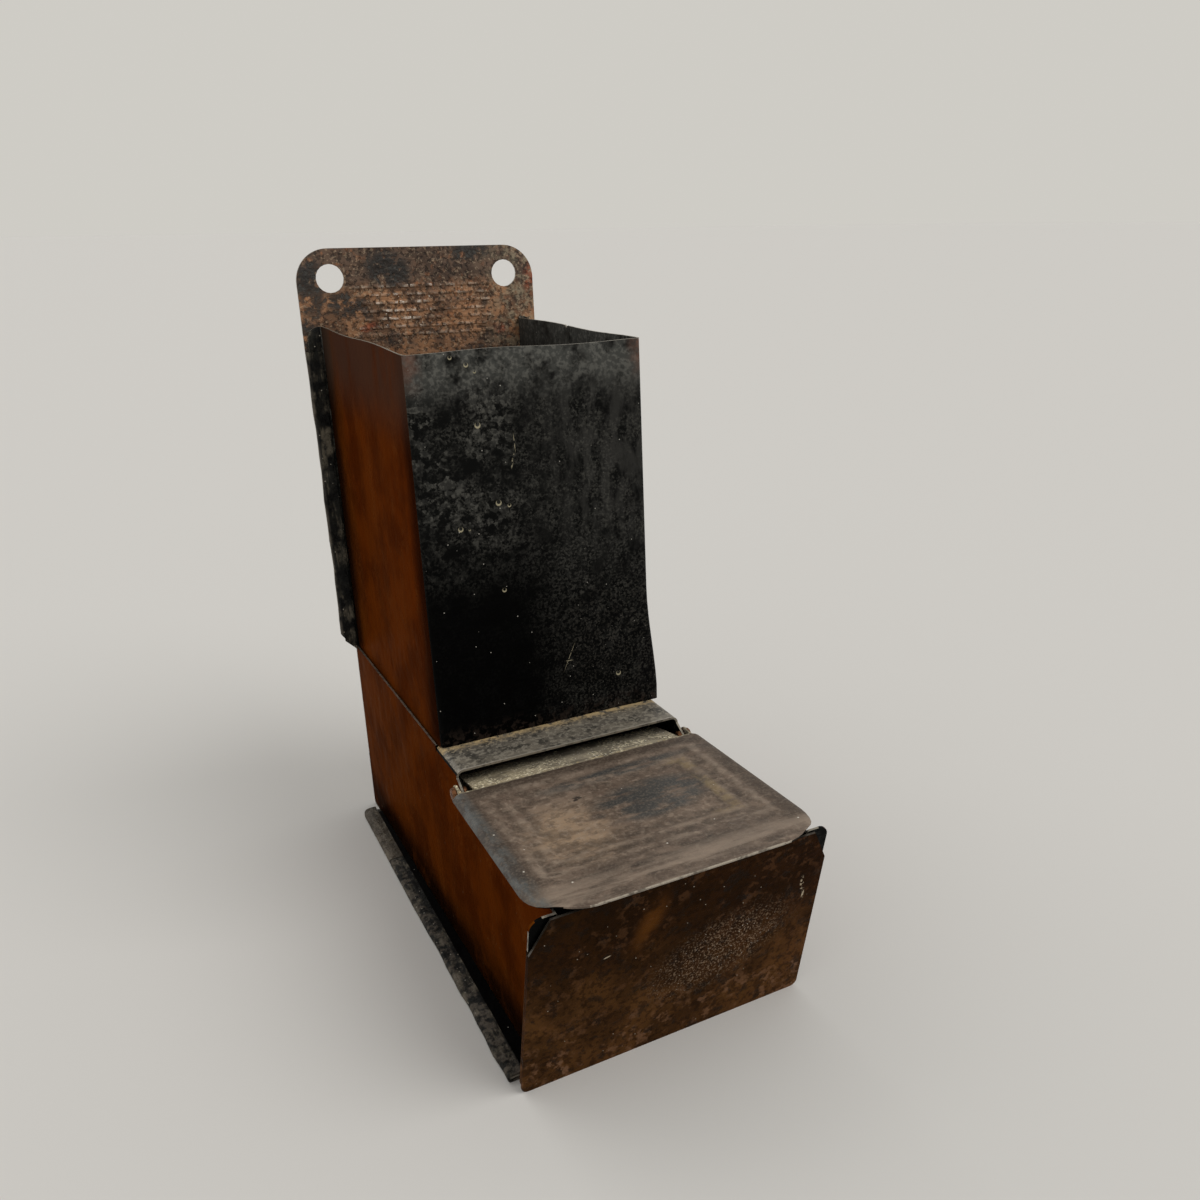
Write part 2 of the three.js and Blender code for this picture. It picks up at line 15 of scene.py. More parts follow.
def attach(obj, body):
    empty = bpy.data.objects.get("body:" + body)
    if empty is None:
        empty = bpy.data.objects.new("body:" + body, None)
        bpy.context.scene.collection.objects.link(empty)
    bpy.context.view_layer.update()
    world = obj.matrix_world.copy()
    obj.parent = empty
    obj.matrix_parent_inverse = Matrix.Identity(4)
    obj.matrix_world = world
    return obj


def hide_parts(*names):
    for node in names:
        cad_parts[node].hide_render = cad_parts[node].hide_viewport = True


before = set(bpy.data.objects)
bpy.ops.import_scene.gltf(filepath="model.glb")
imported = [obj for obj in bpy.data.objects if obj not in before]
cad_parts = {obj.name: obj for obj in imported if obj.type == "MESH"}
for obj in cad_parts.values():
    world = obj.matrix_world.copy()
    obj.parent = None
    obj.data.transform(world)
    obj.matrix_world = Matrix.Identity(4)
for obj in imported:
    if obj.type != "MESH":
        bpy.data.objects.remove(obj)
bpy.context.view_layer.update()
bpy.ops.object.select_all(action="DESELECT")
MM = 0.001

# %% [markdown]
# The camera stands where the photographer stood: to the left of the front, above the lid and
# looking down by about twenty degrees. The photo is a crop, so its middle isn't the middle of the
# lens. A small lens shift makes up for that, and the rest is in the camera's turn.

# %% Camera
CAMERA_PLACE = Vector((-105.638, -266.482, 195.096)) * MM
CAMERA_YAW = math.radians(-29.095)
CAMERA_PITCH = math.radians(20.59)
CAMERA_ROLL = math.radians(-0.628)
IMAGE_SIDE = 1200
FOCAL_PIXELS = 1080.69
SHIFT_PIXELS = (73.5, 26.8)

lens = bpy.data.cameras.new("photo_camera")
lens.sensor_width = 36
lens.lens = FOCAL_PIXELS * lens.sensor_width / IMAGE_SIDE
lens.shift_x = -SHIFT_PIXELS[0] / IMAGE_SIDE
lens.shift_y = SHIFT_PIXELS[1] / IMAGE_SIDE
lens.clip_start = 10 * MM
camera = bpy.data.objects.new("photo_camera", lens)
bpy.context.collection.objects.link(camera)

forward = Vector((
    -math.sin(CAMERA_YAW) * math.cos(CAMERA_PITCH),
    math.cos(CAMERA_YAW) * math.cos(CAMERA_PITCH),
    -math.sin(CAMERA_PITCH),
))
level_right = Vector((math.cos(CAMERA_YAW), math.sin(CAMERA_YAW), 0))
level_up = level_right.cross(forward)
right = level_right * math.cos(CAMERA_ROLL) + level_up * math.sin(CAMERA_ROLL)
up = level_up * math.cos(CAMERA_ROLL) - level_right * math.sin(CAMERA_ROLL)
turn = Matrix((right, up, -forward)).transposed().to_4x4()
camera.matrix_world = Matrix.Translation(CAMERA_PLACE) @ turn
bpy.context.scene.camera = camera
print("lens", round(lens.lens, 2), "mm, shift", round(lens.shift_x, 4), round(lens.shift_y, 4))

# %% [markdown]
# Two small helpers serve every finish. Colours are written as they look on a screen and turned to
# the linear values that Blender mixes light in. One function adds a node with its settings and
# links, so that a finish reads as a list of what lies on the metal.

# %% Helpers for colours and nodes
def linear(code):
    """A colour such as #4a3226 as linear red, green, blue and alpha."""
    shares = [int(code[i:i + 2], 16) / 255 for i in (1, 3, 5)]
    return [s / 12.92 if s <= 0.04045 else ((s + 0.055) / 1.055) ** 2.4 for s in shares] + [1.0]


def add(tree, kind, settings, inputs):
    """Adds one node, with its own settings, and values or links for its inputs."""
    node = tree.nodes.new("ShaderNode" + kind)
    for key, value in settings.items():
        setattr(node, key, value)
    for key, value in inputs.items():
        if isinstance(value, bpy.types.NodeSocket):
            tree.links.new(value, node.inputs[key])
        else:
            node.inputs[key].default_value = value
    return node


def new_finish(name, constants):
    """A finish with an empty Principled surface: its material, shader, place and axes, in metres."""
    finish = bpy.data.materials.new(name)
    finish.use_nodes = True
    tree = finish.node_tree
    tree.nodes.clear()
    shader = add(tree, "BsdfPrincipled", {}, constants)
    add(tree, "OutputMaterial", {}, {"Surface": shader.outputs["BSDF"]})
    place = add(tree, "TexCoord", {}, {}).outputs["Object"]
    axes = add(tree, "SeparateXYZ", {}, {0: place}).outputs
    return finish, shader, place, axes


print("a mid grey, #808080, is", round(linear("#808080")[0], 3), "of the light of white")

# %% [markdown]
# The studio is a pale floor under a soft, even sky, with one large soft key from the front right
# and above. That is how the photo's light falls: the lid and the floor are bright, and the left
# side of the tray lies in shade. A large sun lamp lights near and far alike, so the floor stays
# even up to the horizon.

# %% Studio
FLOOR_COLOUR = "#d3d0ca"
FLOOR_SIDE = 60
SKY_LEVEL = 0.62
BACKGROUND_LEVEL = 0.643

bpy.ops.mesh.primitive_plane_add(size=FLOOR_SIDE, location=(0, 0, 0))
floor = bpy.context.object
floor.name = "studio_floor"
floor_finish = new_finish("pale_floor", {
    "Base Color": linear(FLOOR_COLOUR), "Roughness": 0.9, "Specular IOR Level": 0.1,
})[0]
floor.data.materials.append(floor_finish)

world = bpy.data.worlds.new("soft_sky")
bpy.context.scene.world = world
world.use_nodes = True
tree = world.node_tree
tree.nodes.clear()
path = add(tree, "LightPath", {}, {}).outputs
seen = add(tree, "Math", {"operation": "MAXIMUM"}, {0: path["Is Camera Ray"], 1: path["Is Glossy Ray"]})
seen = add(tree, "Math", {"operation": "MAXIMUM"}, {0: seen.outputs[0], 1: path["Is Transmission Ray"]})
sky = add(tree, "Background", {}, {"Color": (1, 1, 1, 1), "Strength": SKY_LEVEL})
backdrop = add(tree, "Background", {}, {"Color": linear("#fbf8f0"), "Strength": BACKGROUND_LEVEL})
mixed = add(tree, "MixShader", {}, {0: seen.outputs[0], 1: sky.outputs[0], 2: backdrop.outputs[0]})
add(tree, "OutputWorld", {}, {"Surface": mixed.outputs[0]})

# Each sun lamp: name, strength, how wide it is in degrees, and where it shines from.
SUN_LAMPS = [
    ("key_light", 1.1, 40, (0.45, -0.55, 0.75)),
    ("back_light", 0.35, 50, (-0.3, 0.7, 0.6)),
]
for name, strength, spread, source in SUN_LAMPS:
    lamp = bpy.data.lights.new(name, "SUN")
    lamp.energy = strength
    lamp.angle = math.radians(spread)
    light = bpy.data.objects.new(name, lamp)
    light.rotation_mode = "QUATERNION"
    light.rotation_quaternion = Vector(source).to_track_quat("Z", "Y")
    bpy.context.collection.objects.link(light)
bpy.context.scene.view_settings.view_transform = "Standard"
print("lights", [row[0] for row in SUN_LAMPS])

# %% [markdown]
# Old paint is never one colour. Each finish is built as on the real sheet: a first coat, and then
# what has happened to it since. Every mark has a real size in millimetres. A patch comes from
# noise with that grain size, a speck from scattered points, and a scratch from a long thin ellipse
# at its own place. A pixel of the picture is about a quarter of a millimetre on the metal, so what
# is really finer than that is drawn coarser: dust of 0.1 mm as specks of 0.3 to 0.6 mm across, and
# the grain of paint and rust, really 0.1 to 0.3 mm, as patches of 0.6 to 1.3 mm.

# %% Helpers for marks
SMOOTH = {"interpolation_type": "SMOOTHSTEP"}


def meet(found, *others):
    """Where all of these marks lie at once."""
    for mask in others:
        found = add(mask.id_data, "Math", {"operation": "MULTIPLY"}, {0: found, 1: mask}).outputs[0]
    return found


def gather(found, *others):
    """Where any of these marks lies."""
    for mask in others:
        found = add(mask.id_data, "Math", {"operation": "MAXIMUM"}, {0: found, 1: mask}).outputs[0]
    return found


def fade(position, start, end):
    """Rises from nothing at start to full at end, in millimetres along one axis."""
    reach = {"Value": position, "From Min": start * MM, "From Max": end * MM}
    return add(position.id_data, "MapRange", SMOOTH, reach).outputs[0]


def apart(position, middle=0.0):
    """How far a position is from a middle value in millimetres, to either side of it, in metres."""
    tree = position.id_data
    away = add(tree, "Math", {"operation": "SUBTRACT"}, {0: position, 1: middle * MM}).outputs[0]
    return add(tree, "Math", {"operation": "ABSOLUTE"}, {0: away}).outputs[0]


def patches(place, size, low, high, stretch=(1, 1, 1), seed=0.0, detail=4.0):
    """Irregular patches about size millimetres wide; low and high set how much they cover."""
    tree = place.id_data
    moved = add(tree, "Mapping", {}, {"Vector": place, "Location": (seed, seed, seed), "Scale": stretch})
    noise = add(tree, "TexNoise", {}, {
        "Vector": moved.outputs[0], "Scale": 1000 / size, "Detail": detail, "Roughness": 0.6,
    })
    spread = add(tree, "MapRange", SMOOTH, {"Value": noise.outputs[0], "From Min": low, "From Max": high})
    return spread.outputs[0]


def specks(place, spacing, radius, share, seed=0.0):
    """Round specks of the given radius, about spacing millimetres apart, with only a share kept."""
    tree = place.id_data
    moved = add(tree, "Mapping", {}, {"Vector": place, "Location": (seed, seed, seed)})
    cells = add(tree, "TexVoronoi", {}, {"Vector": moved.outputs[0], "Scale": 1000 / spacing})
    dot = add(tree, "MapRange", SMOOTH, {
        "Value": cells.outputs["Distance"], "From Min": radius / spacing, "From Max": 0.5 * radius / spacing,
    })
    chance = add(tree, "SeparateColor", {}, {0: cells.outputs["Color"]})
    kept = add(tree, "Math", {"operation": "GREATER_THAN"}, {0: chance.outputs[0], 1: 1 - share})
    return meet(dot.outputs[0], kept.outputs[0])


def stroke(place, centre, half, turn, edge=0.5):
    """A long thin ellipse: centre, half sizes and turn on each axis, in millimetres and degrees."""
    tree = place.id_data
    inside = add(tree, "Mapping", {"vector_type": "TEXTURE"}, {
        "Vector": place,
        "Location": [v * MM for v in centre],
        "Rotation": [math.radians(v) for v in turn],
        "Scale": [v * MM for v in half],
    })
    away = add(tree, "VectorMath", {"operation": "LENGTH"}, {0: inside.outputs[0]})
    mark = add(tree, "MapRange", SMOOTH, {"Value": away.outputs["Value"], "From Min": 1, "From Max": edge})
    return mark.outputs[0]


# %% [markdown]
# The marks are then laid on the metal in the order in which they came there: each coat covers part
# of the ones below it. The same masks also change how rough the surface is and how high it stands,
# so that a pit is dark, dull and deep at one place.

# %% Helpers for coats and surface
def coats(colour, layers):
    """Lays each colour over the ones before it, by its mask and its strength."""
    under = linear(colour)
    for code, mask, strength in layers:
        tree = mask.id_data
        amount = add(tree, "Math", {"operation": "MULTIPLY"}, {0: mask, 1: strength}).outputs[0]
        mixed = add(tree, "Mix", {"data_type": "RGBA"}, {0: amount, 6: under, 7: linear(code)})
        under = mixed.outputs[2]
    return under


def levels(under, layers):
    """A roughness or another amount: a base value, changed towards others by their masks."""
    for value, mask in layers:
        under = add(mask.id_data, "Mix", {"data_type": "FLOAT"}, {0: mask, 2: under, 3: value}).outputs[0]
    return under


def cover(shader, colour, roughness, heights):
    """Gives a surface its colour, its roughness and its small heights, which are in millimetres."""
    tree = shader.id_data
    tree.links.new(colour, shader.inputs["Base Color"])
    tree.links.new(roughness, shader.inputs["Roughness"])
    height = 0.0
    for mask, rise in heights:
        amounts = {0: mask, 1: rise * MM, 2: height}
        height = add(tree, "Math", {"operation": "MULTIPLY_ADD"}, amounts).outputs[0]
    bump = add(tree, "Bump", {}, {"Strength": 1.0, "Distance": 1.0, "Height": height})
    tree.links.new(bump.outputs[0], shader.inputs["Normal"])


# %% [markdown]
# Black japan is a baked varnish of asphalt and oil over sheet iron. On the hopper's front it has
# gone dull: black at the foot, greyer towards the top, mottled with fine grey specks, and sprinkled
# with pale dust. A lighter grey band along the top is a painted sheen. A few burst blisters are left
# as pale rings, with two scratches between them. The inside has the same paint, painted sheen
# included, without those marks, so one function makes both.

# %% Finish: dull black japan
# Each blister: how far to the right, height and radius, in millimetres.
BLISTERS = [
    (-15.0, 147.0, 0.8), (-10.9, 126.4, 0.8), (-8.0, 125.4, 0.5), (-21.7, 120.7, 0.7),
    (-19.3, 120.3, 0.3), (-11.1, 102.5, 0.6), (21.8, 71.5, 0.75), (-20.8, 164.1, 0.5),
    (-16.8, 162.1, 0.6), (-14.7, 160.3, 0.4),
]
# Each scratch: centre and half sizes in millimetres, and turn in degrees.
SCRATCHES = [
    ((-5.4, 0, 141.6), (0.13, 40, 3.0), -3), ((-6.2, 0, 137.0), (0.34, 40, 2.4), 14),
    ((6.6, 0, 79.6), (0.1, 40, 5.4), 25), ((6.5, 0, 78.6), (1.5, 40, 0.14), 2),
]


def blister_rings(place, axes):
    """Pale rings seen from the front, each a disc with a smaller disc taken out of its upper part."""
    tree = place.id_data
    flat = add(tree, "CombineXYZ", {}, {0: axes["X"], 2: axes["Z"]}).outputs[0]
    rings = []
    for across, height, radius in BLISTERS:
        away = []
        for middle in (height, height + 0.35 * radius):
            ends = {0: flat, 1: (across * MM, 0, middle * MM)}
            away.append(add(tree, "VectorMath", {"operation": "DISTANCE"}, ends).outputs["Value"])
        disc = fade(away[0], radius + 0.1, radius - 0.12)
        rings.append(meet(disc, fade(away[1], 0.6 * radius, 0.8 * radius)))
    return gather(*rings)


def black_japan(name, marked):
    """The dull black paint; marked adds what has happened to the hopper's front."""
    finish, shader, place, axes = new_finish(name, {"Specular IOR Level": 0.03})
    upper = fade(axes["Z"], 92, 136)
    right = fade(axes["X"], -6, 16)
    clouds = patches(place, 6, 0.36, 0.64)
    grains = patches(place, 1.2, 0.46, 0.6, seed=3)
    fine = patches(place, 0.7, 0.5, 0.6, seed=5)
    flakes = meet(upper, fade(axes["X"], 6, -14), patches(place, 9, 0.4, 0.54, seed=6),
                  patches(place, 2.8, 0.49, 0.54, seed=8))
    rubbed = patches(place, 3.2, 0.38, 0.62, stretch=(1, 1, 0.35), seed=14)
    mottle = meet(clouds, grains)
    # top: a painted sheen, a lighter grey band in soft patches along the top of the sheet
    top = meet(fade(axes["Z"], 150, 162), patches(place, 5, 0.3, 0.56, seed=4))
    foot = meet(fade(axes["Z"], 124, 96), fade(axes["X"], 8, -8))
    dust = specks(place, 3.0, 0.19, 0.55, seed=1)
    layers = [
        ("#0e0e0d", upper, 0.8), ("#33322f", meet(upper, right, rubbed), 0.75), ("#3c3b37", mottle, 0.4),
        ("#5a5851", meet(clouds, fine), 0.3), ("#403f3b", flakes, 0.5),
        ("#605e57", meet(flakes, grains), 0.45), ("#484844", top, 0.8), ("#6f6d66", meet(top, grains), 0.45),
        ("#040404", fade(axes["Z"], 112, 88), 0.4), ("#010101", foot, 0.93),
    ]
    heights = [(grains, 0.02), (flakes, 0.05), (patches(place, 30, 0.3, 0.7, seed=7), 0.25)]
    if marked:
        rust = meet(fade(apart(axes["X"]), 27, 32), fade(axes["Z"], 154, 164),
                    patches(place, 4, 0.35, 0.6, seed=2))
        soot = meet(fade(axes["Z"], 67, 61), patches(place, 1.6, 0.48, 0.6, seed=12))
        spray = meet(fade(axes["Z"], 108, 86), right)
        sparks = meet(spray, specks(place, 1.3, 0.13, 0.4, seed=13))
        rings = blister_rings(place, axes)
        lines = [stroke(place, centre, half, (0, turn, 0)) for centre, half, turn in SCRATCHES]
        lines = meet(gather(*lines), patches(place, 0.9, 0.42, 0.52, seed=9))
        layers += [
            ("#6a4a3c", rust, 0.7), ("#3a3029", soot, 0.45), ("#3b3832", meet(spray, fine), 0.35),
            ("#8f8a80", sparks, 0.6), ("#a59c80", rings, 0.85), ("#a39a80", lines, 0.8),
        ]
        heights += [(rings, 0.08), (lines, -0.05)]
    layers.append(("#b4afa4", dust, 0.85))
    roughness = levels(0.46, [(0.6, mottle), (0.64, flakes), (0.54, top), (0.9, dust)])
    cover(shader, coats("#050505", layers), roughness, heights)
    return finish


hopper_front_finish = black_japan("dull_black_japan", True)
inside_finish = black_japan("dull_black_japan_inside", False)
print("finish", hopper_front_finish.name, len(hopper_front_finish.node_tree.nodes), "nodes")

# %% [markdown]
# On the sides the japan has kept its gloss. Japan is brown where it is thin, and the light that
# comes back through it from the bright sheet is brown too, so these walls look like dark brown
# glass. A partly metallic surface with a brown colour gives that: it tints what it mirrors. By the
# folds the walls are darkened as painted shade, and near the foot as painted shade and a painted
# reflection of the black hem.

# %% Finish: glossy brown japan
side_finish, shader, place, axes = new_finish("glossy_brown_japan", {
    "Specular Tint": linear("#a8948a"), "Specular IOR Level": 0.0, "Metallic": 0.5,
})
streaks = patches(place, 3, 0.42, 0.7, stretch=(1, 1, 0.08))
smoke = patches(place, 24, 0.4, 0.62, seed=2)
rubs = meet(patches(place, 5, 0.5, 0.62, stretch=(1, 1, 0.3), seed=10),
            patches(place, 1.2, 0.46, 0.6, seed=11))
folds = gather(fade(axes["Y"], 8, 0), fade(axes["Y"], 74, 82))
# shade: painted shade, darkening the walls by the front and rear folds
shade = meet(folds, fade(axes["Z"], 58, 64))
top = meet(fade(axes["Z"], 138, 158), patches(place, 14, 0.2, 0.5, stretch=(1, 1, 0.3), seed=6))
# foot: a painted reflection of the black hem and painted shade, darkening the lowest part of the walls
foot = meet(fade(axes["Z"], 17, 5), patches(place, 9, 0.2, 0.5, seed=8))
dust = specks(place, 3.6, 0.17, 0.3, seed=4)
colour = coats("#62330a", [
    ("#3c1c07", smoke, 0.65), ("#3c1e0a", streaks, 0.14), ("#6a4426", rubs, 0.3), ("#1a0f09", shade, 0.8),
    ("#4a3a30", top, 0.85), ("#120a06", foot, 0.88), ("#a59a88", dust, 0.8),
])
cover(shader, colour, levels(0.3, [(0.36, streaks), (0.48, rubs), (0.4, top), (0.9, dust)]), [
    (patches(place, 34, 0.3, 0.7, seed=9), 0.3), (streaks, 0.004), (dust, 0.03),
])
print("finish", side_finish.name)

# %% [markdown]
# The back plate has lost most of its japan to rust. Iron rusts in blots and pits, so the colour
# goes from red-brown to nearly black within a millimetre, and islands of black paint are left at
# the upper left. The raised striker points are lighter than the rest: partly rubbed, partly a
# painted highlight.

# %% Rusted japan: where paint is left and where the rust is red
def spots_on_plate(place, rows):
    """Marks on the back plate: the middle across and up, half width, half height, turn and edge."""
    return gather(*[
        stroke(place, (across, 85, up), (half_width, 60, half_height), (0, turn, 0), edge)
        for across, up, half_width, half_height, turn, edge in rows
    ])


plate_finish, shader, place, axes = new_finish("rusted_japan", {"Specular IOR Level": 0.4})
islands = spots_on_plate(place, [
    (-10, 182, 9, 6.5, 12, 0.55), (-34, 178, 5.5, 13, 0, 0.5), (16, 186, 7, 2.2, -6, 0.5),
    (-24, 172, 10, 5, 20, 0.4), (17, 187, 9, 4, 0, 0.4), (-37, 160, 5.5, 10, 0, 0.6),
])
below = meet(fade(axes["Z"], 166, 150), patches(place, 20, 0.35, 0.6, seed=13))
paint = meet(gather(islands, below), patches(place, 3.4, 0.38, 0.48, seed=7))
rust_spots = spots_on_plate(place, [
    (-18.1, 164.7, 4.5, 1.8, -20, 0.3), (26.4, 161.9, 4.5, 2.4, 25, 0.3), (37, 178, 3, 7, 0, 0.3),
])
red_rust = meet(rust_spots, patches(place, 2, 0.34, 0.52, seed=14))
print("finish", plate_finish.name, "with", len(plate_finish.node_tree.nodes), "nodes so far")

# %% [markdown]
# The striker's band is browner than the rest. Its points are the parts that stand out from the
# plate, so their crests are found by depth. The crests are lighter, partly rubbed and partly a
# painted highlight, and a few carry painted glints.

# %% Rusted japan: the striker's band and the coats
blots = patches(place, 8, 0.46, 0.56, seed=1)
pits = patches(place, 1.3, 0.48, 0.62, seed=2, detail=6)
grit = patches(place, 0.9, 0.55, 0.63, seed=3)
bright = meet(patches(place, 2.6, 0.52, 0.66, seed=5), patches(place, 14, 0.42, 0.6, seed=6))
grey = meet(fade(axes["X"], 16, 33), patches(place, 3, 0.44, 0.6, seed=8))
crest = fade(axes["Y"], 85.42, 85.2)
# The crests are made lighter, partly as rubbing and partly as a painted highlight.
rubbed_lit_crest = meet(crest, patches(place, 2, 0.36, 0.54, stretch=(0.4, 1, 1), seed=9))
# glints: painted glints, near-white specks in the middle of the striker's band
glints = meet(fade(apart(axes["X"]), 20, 8), gather(
    specks(place, 1.4, 0.24, 0.35, seed=4), meet(crest, patches(place, 1.5, 0.53, 0.57, seed=16))))
band = fade(axes["Z"], 180, 174)
colour = coats("#675141", [
    ("#b28058", meet(band, patches(place, 12, 0.3, 0.5, seed=12)), 0.8), ("#3a2a20", blots, 0.6),
    ("#a86c42", bright, 0.6), ("#96492a", red_rust, 0.75), ("#9c9076", grey, 0.65),
    ("#1d140e", pits, 0.7), ("#d6ba98", grit, 0.32), ("#e8cfb6", rubbed_lit_crest, 0.7),
    ("#201f1d", paint, 0.88), ("#52504a", meet(paint, pits), 0.5),
    ("#fbf3e6", meet(glints, band, fade(axes["Z"], 160, 168)), 0.85),
])
cover(shader, colour, levels(0.72, [(0.45, paint), (0.5, crest), (0.2, glints)]), [
    (pits, -0.2), (blots, 0.12), (grit, 0.08), (paint, 0.08), (patches(place, 18, 0.3, 0.7, seed=10), 0.4),
])
print("finish", plate_finish.name, len(plate_finish.node_tree.nodes), "nodes")

# %% [markdown]
# The shelf is rubbed to a soft dark grey. Match dust has packed itself into a tan line at the
# hopper's foot, and the front edge is lighter, partly worn by fingers and partly a painted highlight.

# %% Finish: rubbed grey shelf
shelf_finish, shader, place, axes = new_finish("rubbed_grey_japan", {"Specular IOR Level": 0.35})
smears = patches(place, 6, 0.4, 0.62, stretch=(0.3, 1, 1), seed=1)
grains = patches(place, 1.1, 0.5, 0.57, seed=2)
dust = meet(fade(axes["Y"], -7.4, -4.4), patches(place, 2.4, 0.36, 0.52, seed=3),
            patches(place, 7, 0.34, 0.5, seed=8))
crumbs = meet(fade(axes["Y"], -10, -5), grains)
# edge: the front edge made lighter, partly wear and partly a painted highlight
edge = meet(fade(axes["Y"], -17.9, -18.45), fade(axes["Z"], 59.8, 60.3))
colour = coats("#5c564d", [
    ("#7c7466", smears, 0.7), ("#262522", patches(place, 4, 0.48, 0.6, seed=6), 0.7),
    ("#9c9484", grains, 0.5), ("#a48c64", crumbs, 0.6), ("#b99f72", dust, 0.85), ("#a59d90", edge, 0.8),
    ("#c9c0ad", specks(place, 2.4, 0.2, 0.4, seed=5), 0.7),
])
cover(shader, colour, levels(0.5, [(0.38, smears), (0.95, dust), (0.3, edge)]), [
    (dust, 0.12), (grains, 0.02), (patches(place, 16, 0.3, 0.7, seed=7), 0.15),
])
print("finish", shelf_finish.name)

# %% [markdown]
# The lid is handled most. Its japan is dulled to a brown-grey haze, with a darker patch where the
# varnish has survived in the pressed middle, tan dust in the corners of the steps, blue-grey scuffs
# with a painted blue-grey reflection on the rolled left side, a front band lightened partly by
# rubbing and partly as a painted highlight, and a thin bright line along the front edge, partly
# bare steel and partly a painted highlight. The creases of the two steps are darkened by dirt and
# painted shade, and their crests are lightened by wear and a painted highlight, so those are found
# by how far a point is outside each step's rectangle.

# %% Dulled lid: haze, wear and the marks of the steps
def outside(axes, half_x, middle_y, half_y):
    """How far a point is outside a rectangle seen from above, in metres, and negative inside it."""
    reach = []
    for axis, middle, half in (("X", 0, half_x), ("Y", middle_y, half_y)):
        away = apart(axes[axis], middle)
        less = add(away.id_data, "Math", {"operation": "SUBTRACT"}, {0: away, 1: half * MM})
        reach.append(less.outputs[0])
    return gather(*reach)


def ridge(reach, middle, width):
    """A soft line along a rectangle, where its reach is near the middle value in mm."""
    return fade(apart(reach, middle), width, 0.2 * width)


lid_finish, shader, place, axes = new_finish("dulled_lid_japan", {"Specular IOR Level": 0.28})
ALONG = (0.42, 1, 1)
haze = patches(place, 9, 0.36, 0.62, seed=1)
streaks = patches(place, 3, 0.42, 0.64, stretch=ALONG, seed=2)
grains = patches(place, 0.7, 0.48, 0.64, seed=3)
scuffs = patches(place, 1.6, 0.5, 0.66, seed=4)
blotches = patches(place, 2.4, 0.5, 0.6, seed=18)
warm = meet(stroke(place, (-17, -56, 57), (17, 20, 20), (0, 0, 0), 0.3), haze)
bands = meet(fade(axes["Y"], -66, -72), patches(place, 5, 0.44, 0.6, stretch=(0.1, 1, 1), seed=8))
# The lighter front band here is partly rubbing and partly a painted highlight.
rubbed = meet(fade(axes["Y"], -72, -80), patches(place, 5, 0.4, 0.58, stretch=(0.15, 1, 1), seed=16))
shaded = gather(fade(apart(axes["X"]), 30.5, 34), fade(axes["Y"], -31, -28))
first, second = [outside(axes, *box) for box in ((30, -49.95, 20.3), (25, -49.95, 15.3))]
ragged = patches(place, 3, 0.36, 0.58, seed=13)
margin_band = meet(fade(first, 0, 2.5), patches(place, 6, 0.34, 0.56, stretch=ALONG, seed=12))
# The step crests are lightened by wear and a painted highlight, and the creases darkened by dirt and painted
# shade.
worn_lit_crests = meet(gather(ridge(first, 0.5, 2), ridge(second, 0.5, 2)), ragged,
              patches(place, 16, 0.34, 0.6, seed=19))
dirty_shaded_creases = meet(gather(ridge(first, -2, 2.6), ridge(second, -2, 2.6)), ragged)
tan = meet(ridge(second, -0.4, 2.2), fade(axes["X"], 16, 23), patches(place, 3, 0.34, 0.6, seed=14))
print("finish", lid_finish.name, "with", len(lid_finish.node_tree.nodes), "nodes so far")

# %% [markdown]
# The dark middle patch has a few cracks at its left. The lid's narrow rear strip lies lower, in the
# slot before the shelf, and there match dust gathers: pale and grainy, with a tan line at its edge.

# %% Dulled lid: dark patch, slot and coats
old_varnish = gather(
    stroke(place, (8, -49.5, 57), (20, 11, 20), (0, 0, 6), 0.62),
    stroke(place, (6, -33, 57), (30, 3.2, 20), (0, 0, 3), 0.4),
)
dark = meet(old_varnish, patches(place, 4, 0.34, 0.54, stretch=(0.4, 1, 1), seed=5))
cracks = meet(stroke(place, (-9, -42, 57), (9, 4, 20), (0, 0, 10), 0.3),
              patches(place, 1.8, 0.56, 0.62, stretch=(0.35, 1, 1), seed=6))
margin = fade(axes["X"], -32.5, -36)
# The left margin's blue-grey marks are scuffs and a painted blue-grey reflection.
scuffed_and_reflecting = meet(margin, patches(place, 3.5, 0.4, 0.56, stretch=(1, 0.4, 1), seed=7))
slot = fade(axes["Y"], -24.9, -24.0)
slot_dust = meet(slot, patches(place, 0.8, 0.5, 0.58, seed=9), patches(place, 6, 0.36, 0.56, seed=17))
slot_shade = meet(slot, patches(place, 2.4, 0.42, 0.6, stretch=ALONG, seed=15))
slot_specks = meet(slot, specks(place, 1.0, 0.24, 0.5, seed=20))
flecks = specks(place, 4.2, 0.32, 0.3, seed=10)
colour = coats("#68574a", [
    ("#83705f", haze, 0.65), ("#a0866a", warm, 0.75), ("#473a30", streaks, 0.5), ("#a08d7a", scuffs, 0.45),
    ("#3f342b", blotches, 0.4), ("#4b3e34", margin_band, 0.55), ("#332a24", meet(streaks, bands), 0.75),
    ("#3b322a", dirty_shaded_creases, 0.45), ("#352b23", shaded, 0.5), ("#9a8876", rubbed, 0.6),
    ("#9c8b79", worn_lit_crests, 0.45), ("#393a39", dark, 0.88), ("#14110f", cracks, 0.9), ("#98835e", tan, 0.5),
    ("#6c6f6c", scuffed_and_reflecting, 0.75), ("#363736", margin, 0.5), ("#9a8f7a", slot, 0.95),
    ("#b5a482", meet(slot, fade(axes["X"], 0, -22)), 0.5), ("#4a4439", slot_shade, 0.6),
    ("#f2e4bf", slot_dust, 0.8), ("#fff8e6", slot_specks, 0.85),
    ("#c2ab7c", meet(ridge(axes["Y"], -23.9, 0.7), scuffs), 0.8), ("#8a7d6c", grains, 0.25),
    ("#e0d8c8", flecks, 0.85),
])
